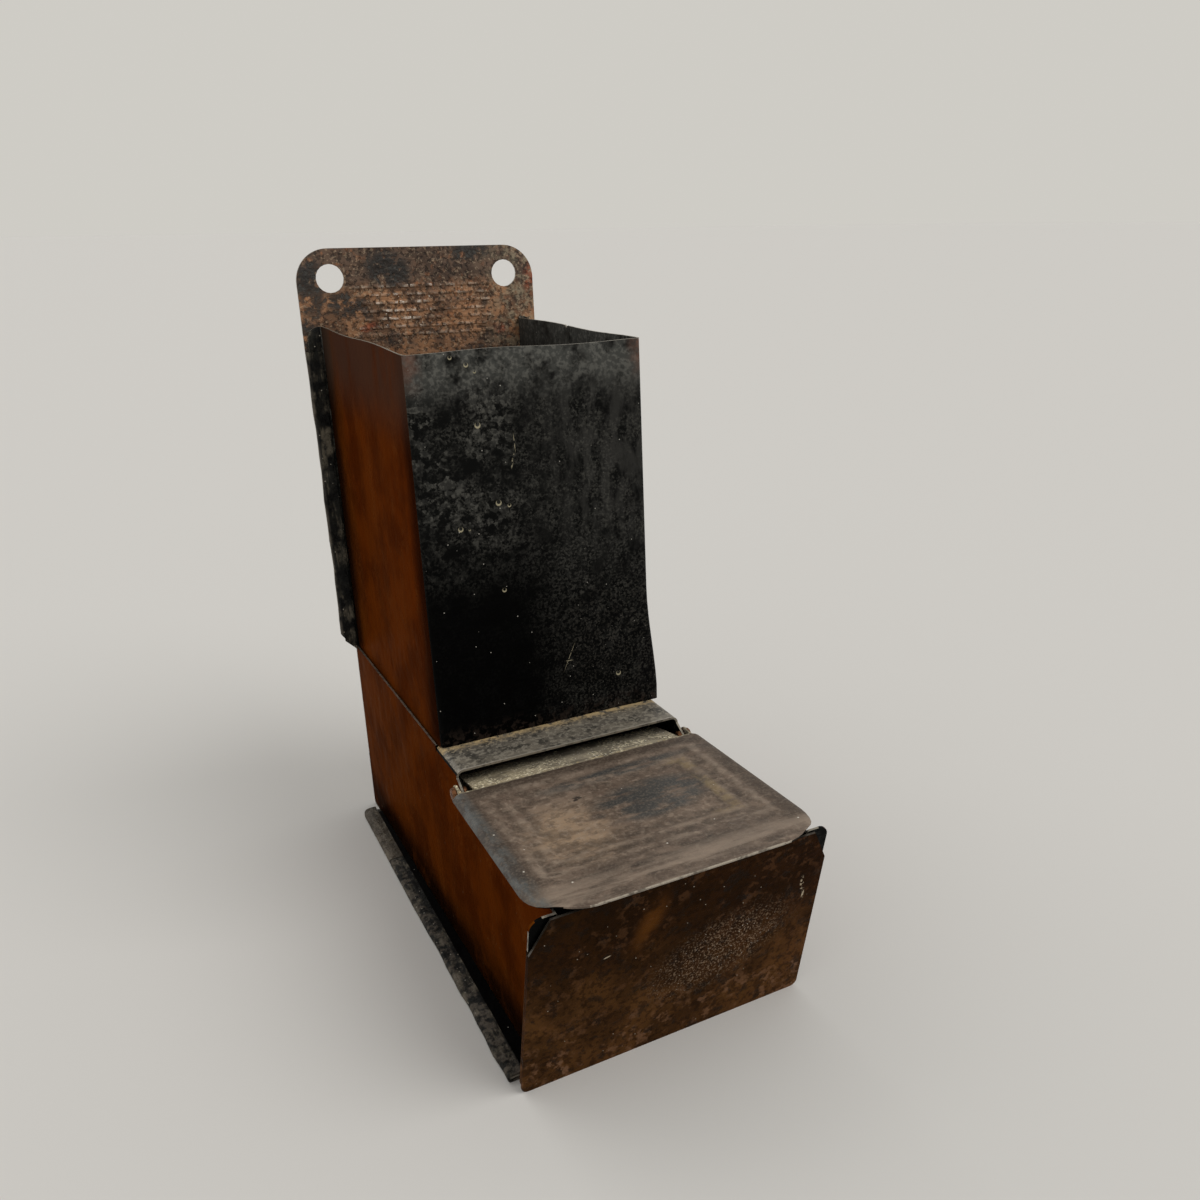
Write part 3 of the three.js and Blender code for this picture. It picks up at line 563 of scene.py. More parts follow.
cover(shader, colour, levels(0.52, [(0.62, haze), (0.42, dark), (0.4, scuffed_and_reflecting), (0.95, slot)]), [
    (cracks, -0.15), (grains, 0.02), (scuffs, 0.03), (dark, 0.03), (slot_dust, 0.08), (flecks, 0.1),
    (patches(place, 20, 0.3, 0.7, seed=11), 0.3),
])
print("finish", lid_finish.name, len(lid_finish.node_tree.nodes), "nodes")

# %% [markdown]
# The front plate is bronze-brown with a low gloss. It is covered with small knocks: fine bright
# specks, short pale scratches, and scuffed bands where things were pushed against it. In a worked
# patch across the lower middle, a darker ground carries bright grain and near-white specks that are
# painted glints.

# %% Finish: bronze-brown front
front_finish, shader, place, axes = new_finish("bronze_brown_japan", {
    "Specular Tint": linear("#b08a66"), "Specular IOR Level": 0.04,
})
smoke = patches(place, 14, 0.38, 0.62, seed=1)
blots = patches(place, 4, 0.52, 0.66, seed=2)
grains = patches(place, 0.55, 0.52, 0.62, seed=3)
tooth = patches(place, 1.6, 0.5, 0.58, seed=13)
rub = meet(patches(place, 2.2, 0.5, 0.6, seed=4), patches(place, 9, 0.44, 0.58, seed=5))
glow = meet(stroke(place, (-9.5, -81, 44), (4.5, 30, 12), (0, 22, 0), 0.1),
            patches(place, 5, 0.3, 0.55, seed=11))
# A darker worked patch; its bright grain and near-white specks below are painted glints.
worked_and_glinting = stroke(place, (12, -78, 26), (26, 30, 14), (0, -18, 0), 0.3)
knocks = specks(place, 2.2, 0.17, 0.35, seed=6)
glint_specks = meet(worked_and_glinting, specks(place, 1.2, 0.16, 0.5, seed=12))
lines = gather(
    stroke(place, (35.0, -79, 35.6), (0.35, 30, 1.4), (0, 8, 0)),
    meet(stroke(place, (34.4, -79, 38), (0.9, 30, 5), (0, -10, 0), 0.6),
         patches(place, 0.9, 0.5, 0.6, seed=7)),
    stroke(place, (-20, -80, 37.6), (1.2, 30, 0.25), (0, -12, 0)),
)
colour = coats("#5c3f22", [
    ("#281707", fade(axes["Z"], 18, 44), 0.9), ("#201409", smoke, 0.6), ("#120a04", blots, 0.65),
    ("#1a1007", tooth, 0.5), ("#8a6850", meet(fade(axes["Z"], 20, 6), rub), 0.6), ("#6d4d34", rub, 0.3),
    ("#7a4c1e", glow, 0.45), ("#17100b", worked_and_glinting, 0.4), ("#a8917a", meet(grains, worked_and_glinting), 0.55),
    ("#cfc4b2", knocks, 0.8), ("#efe8dc", glint_specks, 0.85), ("#cbbca2", lines, 0.75),
])
cover(shader, colour, levels(0.42, [(0.5, smoke), (0.34, blots), (0.3, knocks)]), [
    (blots, -0.06), (grains, 0.05), (glint_specks, 0.06), (knocks, 0.05), (lines, -0.05),
    (patches(place, 22, 0.3, 0.7, seed=10), 0.4),
])
shader.id_data.links.new(levels(0.5, [(0.2, blots), (0.0, knocks)]), shader.inputs["Metallic"])
print("finish", front_finish.name)

# %% [markdown]
# Along the ground the hems are rough and black, as old paint mixed with soot and grease is. The
# short rear part is smoother and olive-grey. The outer rims are lighter, partly worn and partly a
# painted highlight.

# %% Finish: rough hems
hem_finish, shader, place, axes = new_finish("rough_black_japan", {"Specular IOR Level": 0.14})
crust = patches(place, 1.2, 0.42, 0.6, seed=1, detail=6)
blots = patches(place, 5, 0.4, 0.62, seed=2)
rear = meet(fade(axes["Y"], 42.5, 43.0), fade(axes["Z"], 6, 4))
scrape = meet(patches(place, 2, 0.46, 0.62, stretch=(1, 0.2, 0.2), seed=3), blots)
# The outer rim is made lighter, partly as wear and partly as a painted highlight.
worn_lit_rim = meet(fade(apart(axes["X"]), 37.1, 37.9), patches(place, 2.2, 0.42, 0.6, stretch=(1, 1, 0.3), seed=6))
colour = coats("#0f0f0e", [
    ("#030303", crust, 0.85), ("#32312a", blots, 0.4), ("#060606", fade(axes["Z"], 8, 4), 0.4),
    ("#4b4134", rear, 0.65), ("#857b69", scrape, 0.5), ("#6e6458", worn_lit_rim, 0.5),
    ("#b4ab9c", specks(place, 1.8, 0.26, 0.45, seed=4), 0.7),
])
cover(shader, colour, levels(0.62, [(0.5, blots), (0.45, rear)]), [
    (crust, 0.12), (blots, 0.1), (patches(place, 14, 0.3, 0.7, seed=5), 0.4),
])
print("finish", hem_finish.name)

# %% [markdown]
# The worn edges of every sheet show bare steel: dark on most, brighter where fingers lift the lid,
# and sooty at the front plate's top. Their pale patches are partly bare steel and partly a painted
# highlight along the edges. The rivets are copper, dark with tarnish. All of these are a metal with
# one kind of patch on it, so one function makes them.

# %% Finishes: bare edges and rivets
def bare_metal(name, metallic, roughness, colours, patch):
    """Bare metal with patches: the roughness and colour of the metal, then those of the patches."""
    finish, shader, place, _ = new_finish(name, {"Metallic": metallic})
    mask = patches(place, *patch)
    colour = coats(colours[0], [(colours[1], mask, 0.75)])
    cover(shader, colour, levels(roughness[0], [(roughness[1], mask)]), [(mask, 0.03)])
    return finish


STEEL = {"metallic": 0.6, "roughness": (0.5, 0.3), "patch": (2.5, 0.34, 0.52)}
edge_finish = bare_metal("bare_highlit_edge_steel", colours=("#57514a", "#a09889"), **STEEL)
fingered_highlit_edge_finish = bare_metal("fingered_highlit_edge_steel", colours=("#6b6257", "#b8ad9d"), **STEEL)
sooty_edge_finish = bare_metal("sooty_edge_steel", colours=("#24201c", "#5a5248"), **STEEL)
rivet_finish = bare_metal("tarnished_copper", 0.85, (0.32, 0.6), ("#82583a", "#2e1f17"), (0.8, 0.42, 0.6))
print("finishes", edge_finish.name, fingered_highlit_edge_finish.name, sooty_edge_finish.name, rivet_finish.name)

# %% [markdown]
# Every piece is worked on in edit mode, as by hand: open it, select some points, edges or faces by
# where they are, and let an operator push, pull or cut them. A few small helpers do the opening,
# selecting, pulling and cutting, so that each later line says only what is done to the sheet.

# %% Helpers for edit mode
def open_for_edit(piece, kind):
    """Edit mode on one piece, with nothing selected. Kind is VERT, EDGE or FACE."""
    if bpy.context.mode != "OBJECT":
        bpy.ops.object.mode_set(mode="OBJECT")
    bpy.ops.object.select_all(action="DESELECT")
    piece.select_set(True)
    bpy.context.view_layer.objects.active = piece
    bpy.ops.object.mode_set(mode="EDIT")
    bpy.ops.mesh.select_mode(type=kind)
    bpy.ops.mesh.select_all(action="DESELECT")


def close_edit():
    bpy.ops.object.mode_set(mode="OBJECT")


def pick(piece, kind, test):
    """In edit mode, selects the verts, edges or faces whose middle in mm passes the test, and no others."""
    shell = bmesh.from_edit_mesh(piece.data)
    for part in [*shell.verts, *shell.edges, *shell.faces]:
        part.select_set(False)
    found = 0
    for part in getattr(shell, kind):
        if kind == "verts":
            passed = test(part.co / MM)
        elif kind == "edges":
            passed = test(part.verts[0].co / MM, part.verts[1].co / MM)
        else:
            passed = test(part.calc_center_median() / MM, part.normal)
        if passed:
            part.select_set(True)
            found += 1
    bmesh.update_edit_mesh(piece.data)
    return found


def pull(x, y, z):
    """In edit mode, extrudes what is selected and moves it this far, in millimetres."""
    bpy.ops.mesh.extrude_region_move(TRANSFORM_OT_translate={"value": (x * MM, y * MM, z * MM)})


def cut_across(positions, axis):
    """In edit mode, cuts the whole piece at each position in mm along one axis."""
    for position in positions:
        bpy.ops.mesh.select_all(action="SELECT")
        bpy.ops.mesh.bisect(plane_co=[position * MM * a for a in axis], plane_no=axis)


# %% [markdown]
# Where the CAD sheet has the right shape, the piece starts from a copy of it. The copy's loose
# triangles are merged, flat parts are dissolved to single faces, and the folds are shaded smooth.
# A copy keeps every hem and lap exactly where the solid has it, so nothing has to be fitted again.

# %% Helper: a merged copy of a CAD sheet
def copy_sheet(node, name):
    """A merged copy of a CAD sheet, with its folds shaded smooth."""
    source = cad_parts[node]
    piece = bpy.data.objects.new(name, source.data.copy())
    bpy.context.collection.objects.link(piece)
    open_for_edit(piece, "VERT")
    bpy.ops.mesh.select_all(action="SELECT")
    bpy.ops.mesh.remove_doubles(threshold=0.002 * MM)
    bpy.ops.mesh.dissolve_limited(angle_limit=math.radians(0.5))
    close_edit()
    bpy.ops.mesh.customdata_custom_splitnormals_clear()
    bpy.ops.object.shade_smooth_by_angle(angle=math.radians(40))
    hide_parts(node)
    return piece


# %% [markdown]
# An old sheet is never flat. Small dents and waves are given in code, point by point, as a sculptor
# would push them in: a function says where each point goes, and a soft step keeps the push gentle.

# %% Helpers: push points and step softly
def bend_points(piece, move):
    """Moves every vertex of a piece in code, as a hand pushing the sheet; move works in millimetres."""
    for vertex in piece.data.vertices:
        vertex.co = move(vertex.co / MM) * MM
    piece.data.update()


def soft(value, start, end):
    """Nothing at start, one at end, and smooth between."""
    share = min(1.0, max(0.0, (value - start) / (end - start)))
    return share * share * (3 - 2 * share)


print("a soft step is at", round(soft(0.25, 0, 1), 3), "a quarter of the way")

# %% [markdown]
# A painted sheet has a different skin on each side, and bare metal where it was cut. So each face
# gets the finish of its side of the sheet, and the narrow faces between two sharp edges, which are
# the cut edges, get worn steel, made partly lighter as a painted highlight. That thin bright line is
# what shows an eye how thin the sheet is.

# %% Helpers: find the cut edges and dress each face
RIM_WIDTH = 0.66
SHARP = 1.2


def rim_faces(piece):
    """Numbers of the narrow faces between two sharp edges: the cut edges of the sheet."""
    shell = bmesh.new()
    shell.from_mesh(piece.data)
    found = set()
    for face in shell.faces:
        long_edges = sorted(face.edges, key=lambda e: e.calc_length())[-2:]
        width = face.calc_area() / long_edges[0].calc_length()
        if width < RIM_WIDTH * MM and all(e.calc_face_angle(0) > SHARP for e in long_edges):
            found.add(face.index)
    shell.free()
    return found


def dress(piece, finishes, rule, edges=None):
    """Gives each face the finish whose number the rule returns, and the cut edges the last one."""
    while len(piece.data.materials) < len(finishes):
        piece.data.materials.append(None)
    for number, finish in enumerate(finishes):
        piece.data.materials[number] = finish
    last = len(finishes) - 1
    for face in piece.data.polygons:
        is_edge = face.material_index == last if edges is None else face.index in edges
        face.material_index = last if is_edge else rule(face.center / MM, face.normal)
    print(piece.name, len(piece.data.polygons), "faces,", len(finishes), "finishes")


# %% [markdown]
# The back plate is the longest sheet. It stands up with two hanging holes and a striker, has a hem
# folded round each side to grip the hopper's flanges, and bends forward at the foot. It could be
# drawn anew, but the CAD sheet already has its holes, points and folds, so a copy is softened: cuts
# across it give points to move, the striker is rubbed down unevenly and the hems are waved.

# %% Back plate: copy, rub the striker and wave the hems
PLATE_FACE = 85.55
back_plate = copy_sheet("back_plate", "back_plate_sheet")
open_for_edit(back_plate, "EDGE")
cut_across([20 + 4.6 * step for step in range(31)], (0, 0, 1))
close_edit()


def knock_plate(p):
    """Rubs the striker's points down unevenly and waves the outer edges of the hems."""
    q = p.copy()
    if p.y < 85.52 and abs(p.x) < 26 and 155 < p.z < 180:
        fine, broad = math.sin(p.x * 0.9 + 2) * math.sin(p.z * 0.7), math.sin(p.x / 5) * math.sin(p.z / 4)
        q.y = PLATE_FACE - (PLATE_FACE - p.y) * max(0.3, 0.42 + 0.3 * fine + 0.2 * broad)
    if abs(p.x) > 37.2 and 12 < p.z < 156:
        wave = 0.22 + 0.13 * math.sin(p.z / 6.1 + p.x) + 0.09 * math.sin(p.z / 2.3)
        q.x -= math.copysign(wave, p.x)
    return q


bend_points(back_plate, knock_plate)


def plate_side_of_sheet(at, n):
    in_hem = abs(at.x) > 33.6 and at.z < 158.6
    return 1 if n.y < 0.5 and (at.z < 12 or in_hem) else 0


dress(back_plate, [plate_finish, hem_finish, edge_finish], plate_side_of_sheet, rim_faces(back_plate))
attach(back_plate, "holder")

# %% [markdown]
# The hopper is one strip bent round a block: a flange, a side wall, the front, the other side wall
# and the other flange. It is modelled the same way. A plane stands for the front, its side edges
# are pulled back to make the walls, and outwards to make the flanges. The folds and the flanges'
# upper corners are rounded by a bevel.

# %% Hopper: bend the strip
HOPPER_HALF = 32.5
HOPPER_FRONT = -2.05
HOPPER_REAR = 84.85
HOPPER_FOOT = 60.8
HOPPER_TOP = 165.9
FLANGE_END = 36.9
FRONT_FOLD = 1.5
REAR_FOLD = 0.4
FLANGE_CORNER = 3.8


def begin_piece(name, primitive, middle, turn=(0, 0, 0), stretch=(1, 1), **shape):
    """Starts a piece from a primitive, with its middle in mm, a turn and a stretch in its own plane."""
    bpy.ops.object.select_all(action="DESELECT")
    primitive(location=[v * MM for v in middle], rotation=turn, **shape)
    piece = bpy.context.object
    piece.name = name
    piece.scale = (*stretch, 1)
    bpy.ops.object.transform_apply(location=True, rotation=True, scale=True)
    return piece


hopper = begin_piece(
    "hopper_sheet", bpy.ops.mesh.primitive_plane_add, (0, HOPPER_FRONT, (HOPPER_FOOT + HOPPER_TOP) / 2),
    turn=(math.pi / 2, 0, 0), stretch=(2 * HOPPER_HALF * MM, (HOPPER_TOP - HOPPER_FOOT) * MM), size=1)
open_for_edit(hopper, "EDGE")
for side in (-1, 1):
    pick(hopper, "edges", lambda a, b: min(side * a.x, side * b.x) > HOPPER_HALF - 0.1)
    pull(0, HOPPER_REAR - HOPPER_FRONT, 0)
    pull(side * (FLANGE_END - HOPPER_HALF), 0, 0)
corners = pick(hopper, "edges", lambda a, b: abs(a.z - b.z) > 50 and max(a.y, b.y) < 0)
bpy.ops.mesh.bevel(offset=FRONT_FOLD * MM, segments=5)
pick(hopper, "edges", lambda a, b: abs(a.z - b.z) > 50 and min(a.y, b.y) > 80
     and max(abs(a.x), abs(b.x)) < HOPPER_HALF + 0.5)
bpy.ops.mesh.bevel(offset=REAR_FOLD * MM, segments=2)
bpy.ops.mesh.select_mode(type="VERT")
pick(hopper, "verts", lambda p: abs(p.x) > FLANGE_END - 0.4 and p.z > 160)
bpy.ops.mesh.bevel(offset=FLANGE_CORNER * MM, segments=6, affect="VERTICES")
print("front folds rounded:", corners)

# %% [markdown]
# Rows and columns are cut across the sheet, so that it can be pushed out of true as the old one is.
# The flanges' lower ends are trimmed at a slant. Behind the front, the side walls go on down inside
# the tray's walls, which holds the hopper in place, so their lower edges are pulled down.

# %% Hopper: cut rows and columns, trim the flanges and tuck the walls into the tray
TUCK_START = -0.95
TUCK_DEPTH = 10.1
NOTCH = 46.0
DEPTH_CUTS = [TUCK_START, 3, 7.5, 12.5, 18, 24, 30.5, 37, NOTCH - 1, NOTCH, NOTCH + 1, 54, 62, 70, 78]
cut_across([HOPPER_FOOT + 4.4 * step for step in range(1, 24)], (0, 0, 1))
cut_across([-28 + 4 * step for step in range(15)], (1, 0, 0))
cut_across(DEPTH_CUTS, (0, 1, 0))
for side in (-1, 1):
    bpy.ops.mesh.select_all(action="SELECT")
    bpy.ops.mesh.bisect(
        plane_co=(side * 33.4 * MM, 0, 59.8 * MM), plane_no=(side * 1.304, 0, -1), clear_outer=True)
bpy.ops.mesh.select_mode(type="EDGE")
tucked = pick(
    hopper, "edges", lambda a, b: max(a.z, b.z) < HOPPER_FOOT + 0.05 and min(a.y, b.y) > TUCK_START - 0.05
    and min(abs(a.x), abs(b.x)) > HOPPER_HALF - 0.05 and max(a.y, b.y) < HOPPER_REAR - 0.35)
pull(0, 0, -TUCK_DEPTH)
bpy.ops.mesh.select_all(action="SELECT")
bpy.ops.mesh.remove_doubles(threshold=0.001 * MM)
close_edit()
print("edges tucked into the tray:", tucked, "of", len(hopper.data.edges))

# %% [markdown]
# So far the sheet has no thickness. Its faces are first turned to one side. A Solidify modifier then
# gives it its 0.6 mm on the other side, and numbers the cut edges' finish, for which empty slots are
# added first. A small Bevel breaks the edges, because a perfectly sharp one never catches the light.

# %% Helpers: face a sheet one way and give it its thickness
SHEET = 0.6


def face_towards(piece, way):
    """Turns all faces to one side of an open sheet: the face that lies furthest that way faces it."""
    open_for_edit(piece, "FACE")
    bpy.ops.mesh.select_all(action="SELECT")
    bpy.ops.mesh.normals_make_consistent(inside=False)
    shell = bmesh.from_edit_mesh(piece.data)
    furthest = max(shell.faces, key=lambda f: f.calc_center_median().dot(way))
    if furthest.normal.dot(way) < 0:
        bpy.ops.mesh.flip_normals()
    close_edit()


def thicken(piece, rim_number, edge=0.14):
    """Gives an open sheet its thickness, on the side away from its normals, and breaks its edges."""
    while len(piece.data.materials) <= rim_number:
        piece.data.materials.append(None)
    wall = piece.modifiers.new("wall", "SOLIDIFY")
    wall.thickness = SHEET * MM
    wall.offset = -1
    wall.use_even_offset = True
    wall.material_offset_rim = rim_number
    bpy.ops.object.modifier_apply(modifier=wall.name)
    rounding = piece.modifiers.new("rounding", "BEVEL")
    rounding.width = edge * MM
    rounding.segments = 2
    rounding.limit_method = "ANGLE"
    rounding.angle_limit = math.radians(55)
    bpy.ops.object.modifier_apply(modifier=rounding.name)
    bpy.ops.object.shade_smooth_by_angle(angle=math.radians(40))


print("sheet", SHEET, "mm thick")

# %% [markdown]
# The real hopper has been knocked about. It leans forward a little to its foot, its lower right
# corner is pulled outwards over the shelf, its top edge waves, and the right wall has a small nick.

# %% Hopper: lean, dents and thickness
LEAN = 2.2
CORNER_PULL = 2.4
NICK = 0.9


def knock_hopper(p):
    """Where a point of the bent strip has ended up after years of knocks."""
    share = (HOPPER_REAR - p.y) / (HOPPER_REAR - HOPPER_FRONT)
    drop = (HOPPER_TOP - p.z) / (HOPPER_TOP - HOPPER_FOOT)
    free = soft(p.z, 62, 75)
    q = p.copy()
    q.y -= LEAN * share * min(drop, 1)
    if share > 0.97:
        q.y += 0.22 * free * math.sin(p.x / 13 + 0.6) * math.sin(p.z / 21)
    elif abs(p.x) > HOPPER_HALF - 0.1 and p.y < 80:
        q.x += 0.2 * free * soft(p.y, 80, 60) * math.sin(p.y / 17) * math.sin(p.z / 26 + 1)
    reach = 3.4 + max(0, p.z - HOPPER_FOOT)
    if p.x > 20:
        pull_share = soft(p.z, 96, 61) * soft(p.y - HOPPER_FRONT, reach, 0) * soft(p.x, 20, HOPPER_HALF)
        tucked_in = p.z < HOPPER_FOOT + 0.1 and p.y > TUCK_START - 0.05
        if not tucked_in:
            q.x += CORNER_PULL * pull_share
            q.y -= 0.5 * pull_share
    if p.z > HOPPER_TOP - 0.1 and abs(p.x) < HOPPER_HALF + 0.1:
        q.z -= 0.25 + 0.25 * math.sin(p.x / 7 + p.y / 9)
        if p.x > 0 and abs(p.y - NOTCH) < 0.1:
            q.z -= NICK
    return q


bend_points(hopper, knock_hopper)
face_towards(hopper, Vector((0, -1, 0)))
hopper_finishes = [inside_finish, hopper_front_finish, side_finish, hem_finish, edge_finish]
thicken(hopper, len(hopper_finishes) - 1)
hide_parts("hopper")


def hopper_side_of_sheet(at, n):
    if at.y > 80 and abs(at.x) > 33:
        return 3
    if n.y < -0.35 and at.y < 0:
        return 1
    return 2 if abs(n.x) > 0.7 and n.x * at.x > 0 and abs(at.x) > 32.1 else 0


dress(hopper, hopper_finishes, hopper_side_of_sheet)
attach(hopper, "holder")

# %% [markdown]
# The tray body is one sheet: two side walls with the shelf bridging them behind the lid. All its
# bends are crisp on the real one too, so a plain merged copy serves. Only the finish differs from
# face to face: grey on the shelf, glossy brown outside, dull black inside.

# %% Tray body: copy and dress
tray = copy_sheet("tray_body", "tray_sheet")


def tray_side_of_sheet(at, n):
    if n.z > 0.5 and at.z > 58:
        return 1
    return 2 if abs(at.x) > 33.2 and abs(n.x) > 0.6 else 0


dress(tray, [inside_finish, shelf_finish, side_finish, edge_finish], tray_side_of_sheet, rim_faces(tray))
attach(tray, "holder")

# %% [markdown]
# The floor plate lies under everything and is folded over the tray's flanges. These hems stand out
# and take every knock, and paint, soot and grease have made them lumpy. The copy is cut into short
# lengths, and each length is moved a few tenths of a millimetre in and up.

# %% Floor plate: copy and wave the hems
floor_plate = copy_sheet("floor_plate", "floor_sheet")
open_for_edit(floor_plate, "EDGE")
cut_across([-70 + 3.5 * step for step in range(33)], (0, 1, 0))
close_edit()


def knock_floor(p):
    """Waves the folded edge, lumpy as old paint and grease have made it."""
    q = p.copy()
    if abs(p.x) > 40.5 and -70 < p.y < 42:
        wave = 0.3 + 0.16 * math.sin(p.y / 5.3 + p.x) + 0.12 * math.sin(p.y / 2.1)
        q.x -= math.copysign(wave, p.x)
    if abs(p.x) > 36 and p.z > 1 and -70 < p.y < 42:
        q.z += 0.14 * math.sin(p.y / 3.7 + 1) + 0.1 * math.sin(p.y / 1.9)
    return q


bend_points(floor_plate, knock_floor)
dress(floor_plate, [hem_finish, edge_finish], lambda at, n: 0, rim_faces(floor_plate))
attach(floor_plate, "holder")

# %% [markdown]
# The front plate leans forward and is folded round the tray's front flanges, with its top corners
# cut off. It is a plain sheet, so a merged copy serves, and its stains, rubs and scratches are in
# its finish. Its fold edges are painted over, so only the top edges show bare metal.

# %% Front plate: copy and dress
front_plate = copy_sheet("front_plate", "front_sheet")
PAINTED_BELOW = 44
faces = front_plate.data.polygons
top_edges = {number for number in rim_faces(front_plate) if faces[number].center.z > PAINTED_BELOW * MM}
dress(front_plate, [front_finish, sooty_edge_finish], lambda at, n: 0, top_edges)
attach(front_plate, "holder")

# %% [markdown]
# The lid is pressed from one blank. It is modelled from a plane: the front corners are rounded by
# a vertex bevel, the face is inset ring by ring to make the two shallow steps, and the edge is
# pulled outwards and down in five small turns, which makes the rolled margin. The tail that hangs
# behind the crease is pulled out of the rear edge.

# %% Lid: outline and steps
LID_TOP = 57.3
LID_FRONT = -85.295
CREASE = -24.15
LID_HALF = 35.935
LID_CORNER = 11.5
LID_REAR_CORNER = 1.2

lid = begin_piece(
    "lid_sheet", bpy.ops.mesh.primitive_plane_add, (0, (LID_FRONT + CREASE) / 2, LID_TOP),
    stretch=(2 * LID_HALF * MM, (CREASE - LID_FRONT) * MM), size=1)
open_for_edit(lid, "VERT")
pick(lid, "verts", lambda p: p.y > -30)
bpy.ops.mesh.bevel(offset=LID_REAR_CORNER * MM, segments=3, affect="VERTICES")
pick(lid, "verts", lambda p: p.y < -80)
bpy.ops.mesh.bevel(offset=LID_CORNER * MM, segments=10, affect="VERTICES")


def corner_of(p, ring):
    """Centre and radius of the rounded corner of a ring that a point in mm belongs to."""
    half, front, rear, front_radius, rear_radius = ring[1:]
    if p.y < (front + rear) / 2:
        return Vector((math.copysign(half - front_radius, p.x), front + front_radius, p.z)), front_radius
    return Vector((math.copysign(half - rear_radius, p.x), rear - rear_radius, p.z)), rear_radius


# Each ring: depth, half width, front, rear, and the radii of its front and rear corners.
RINGS = [
    (0, LID_HALF, LID_FRONT, CREASE, LID_CORNER, LID_REAR_CORNER), (0, 33.2, -82.6, -26.2, 9, 1.2),
    (0.03, 30.9, -71.2, -28.7, 2.6, 1.6), (0.24, 30.0, -70.3, -29.6, 2.2, 1.4),
    (0.44, 29.2, -69.5, -30.4, 1.8, 1.2), (0.5, 25.9, -66.2, -33.7, 1.6, 1.4),
    (0.7, 25.0, -65.3, -34.6, 1.4, 1.2), (0.88, 24.2, -64.5, -35.4, 1.2, 1), (0.9, 16, -58, -42, 1, 1),
]
bpy.ops.mesh.select_mode(type="FACE")
pick(lid, "faces", lambda at, n: True)
for before, after in zip(RINGS, RINGS[1:]):
    bpy.ops.mesh.inset(thickness=0)
    shell = bmesh.from_edit_mesh(lid.data)
    for vertex in (v for v in shell.verts if v.select):
        old_centre, old_radius = corner_of(vertex.co / MM, before)
        new_centre, new_radius = corner_of(vertex.co / MM, after)
        vertex.co = (new_centre + (vertex.co / MM - old_centre) * new_radius / old_radius) * MM
        vertex.co.z = (LID_TOP - after[0]) * MM
    bmesh.update_edit_mesh(lid.data)
print("lid rings", len(RINGS) - 1)

# %% [markdown]
# Behind the crease the lid goes on as a narrower tail, which slopes down under the shelf and stops
# matches from sliding out behind. Round its other three sides the edge is rolled down, by more at
# the sides than at the front. Each turn of the roll is an extrusion that goes a little further round.

# %% Lid: rear edge, tail and rolled margin
TAIL_HALF = 31.4
TAIL_LENGTH = 14.3
TAIL_DROP = 2.6
REAR_POINTS = [-TAIL_HALF, -12, 12, TAIL_HALF]
bpy.ops.mesh.select_mode(type="EDGE")
pick(lid, "edges", lambda a, b: min(a.y, b.y) > CREASE - 0.05 and abs(a.x - b.x) > 10)
bpy.ops.mesh.subdivide(number_cuts=len(REAR_POINTS))
shell = bmesh.from_edit_mesh(lid.data)
rear = sorted((v for v in shell.verts if v.co.y / MM > CREASE - 0.05), key=lambda v: v.co.x)[1:-1]
for vertex, x in zip(rear, REAR_POINTS):
    vertex.co.x = x * MM
bmesh.update_edit_mesh(lid.data)
pick(lid, "edges", lambda a, b: min(a.y, b.y) > CREASE - 0.05 and max(abs(a.x), abs(b.x)) < TAIL_HALF + 0.1)
pull(0, TAIL_LENGTH, -TAIL_DROP)

ROLL = 2.5
ROLL_TURNS = 5


def outward(p):
    """Which way the lid's edge faces at a point in mm, seen from above."""
    corner = Vector((math.copysign(LID_HALF - LID_CORNER, p.x), LID_FRONT + LID_CORNER, 0))
    away = Vector((p.x, p.y, 0)) - corner
    if away.x * p.x < 0:
        return Vector((0, -1, 0))
    if away.y > 0:
        return Vector((math.copysign(1, p.x), 0, 0))
    return away.normalized()


for turn_number in range(ROLL_TURNS):
    shell = bmesh.from_edit_mesh(lid.data)
    for part in [*shell.verts, *shell.edges, *shell.faces]:
        part.select_set(False)
    for edge in shell.edges:
        a, b = edge.verts[0].co / MM, edge.verts[1].co / MM
        if edge.is_boundary and min(a.y, b.y) < CREASE - 0.05:
            edge.select_set(True)
    bmesh.update_edit_mesh(lid.data)
    pull(0, 0, 0)
    shell = bmesh.from_edit_mesh(lid.data)
    for vertex in (v for v in shell.verts if v.select):
        way = outward(vertex.co / MM)
        full = math.radians(20 + 40 * soft(abs(way.x), 0.6, 1))
        before, after = full * turn_number / ROLL_TURNS, full * (turn_number + 1) / ROLL_TURNS
        vertex.co += way * ROLL * (math.sin(after) - math.sin(before)) * MM
        vertex.co.z += ROLL * (math.cos(after) - math.cos(before)) * MM
    bmesh.update_edit_mesh(lid.data)
close_edit()
print("lid", len(lid.data.vertices), "points")

# %% [markdown]
# The blank tapers slightly to the rear, and the left front corner has been bent up. It then gets its
# thickness as the hopper did.

# %% Lid: dents and thickness
def knock_lid(p):
    """The taper to the rear, the bent-up left front corner and a wave along the front edge."""
    q = p.copy()
    q.x *= 1 - 0.031 * soft(p.y, -85, -24)
    left_front = soft(p.x, -12, -36) * soft(p.y, -62, -84)
    q.z += 0.8 * left_front + 0.2 * math.sin(p.x / 11) * soft(p.y, -70, -84)
    return q


bend_points(lid, knock_lid)
face_towards(lid, Vector((0, 0, 1)))
lid_finishes = [lid_finish, inside_finish, fingered_highlit_edge_finish]
thicken(lid, len(lid_finishes) - 1)
print("lid with its thickness:", len(lid.data.polygons), "faces")

# %% [markdown]
# Each ear is a disc with a hole for the rivet, whose upper front edge is pulled forward to a strap
# under the lid, where it is joined on. Dust and wear belong to the lid's top side, so the underside
# has the dull black of the inside.

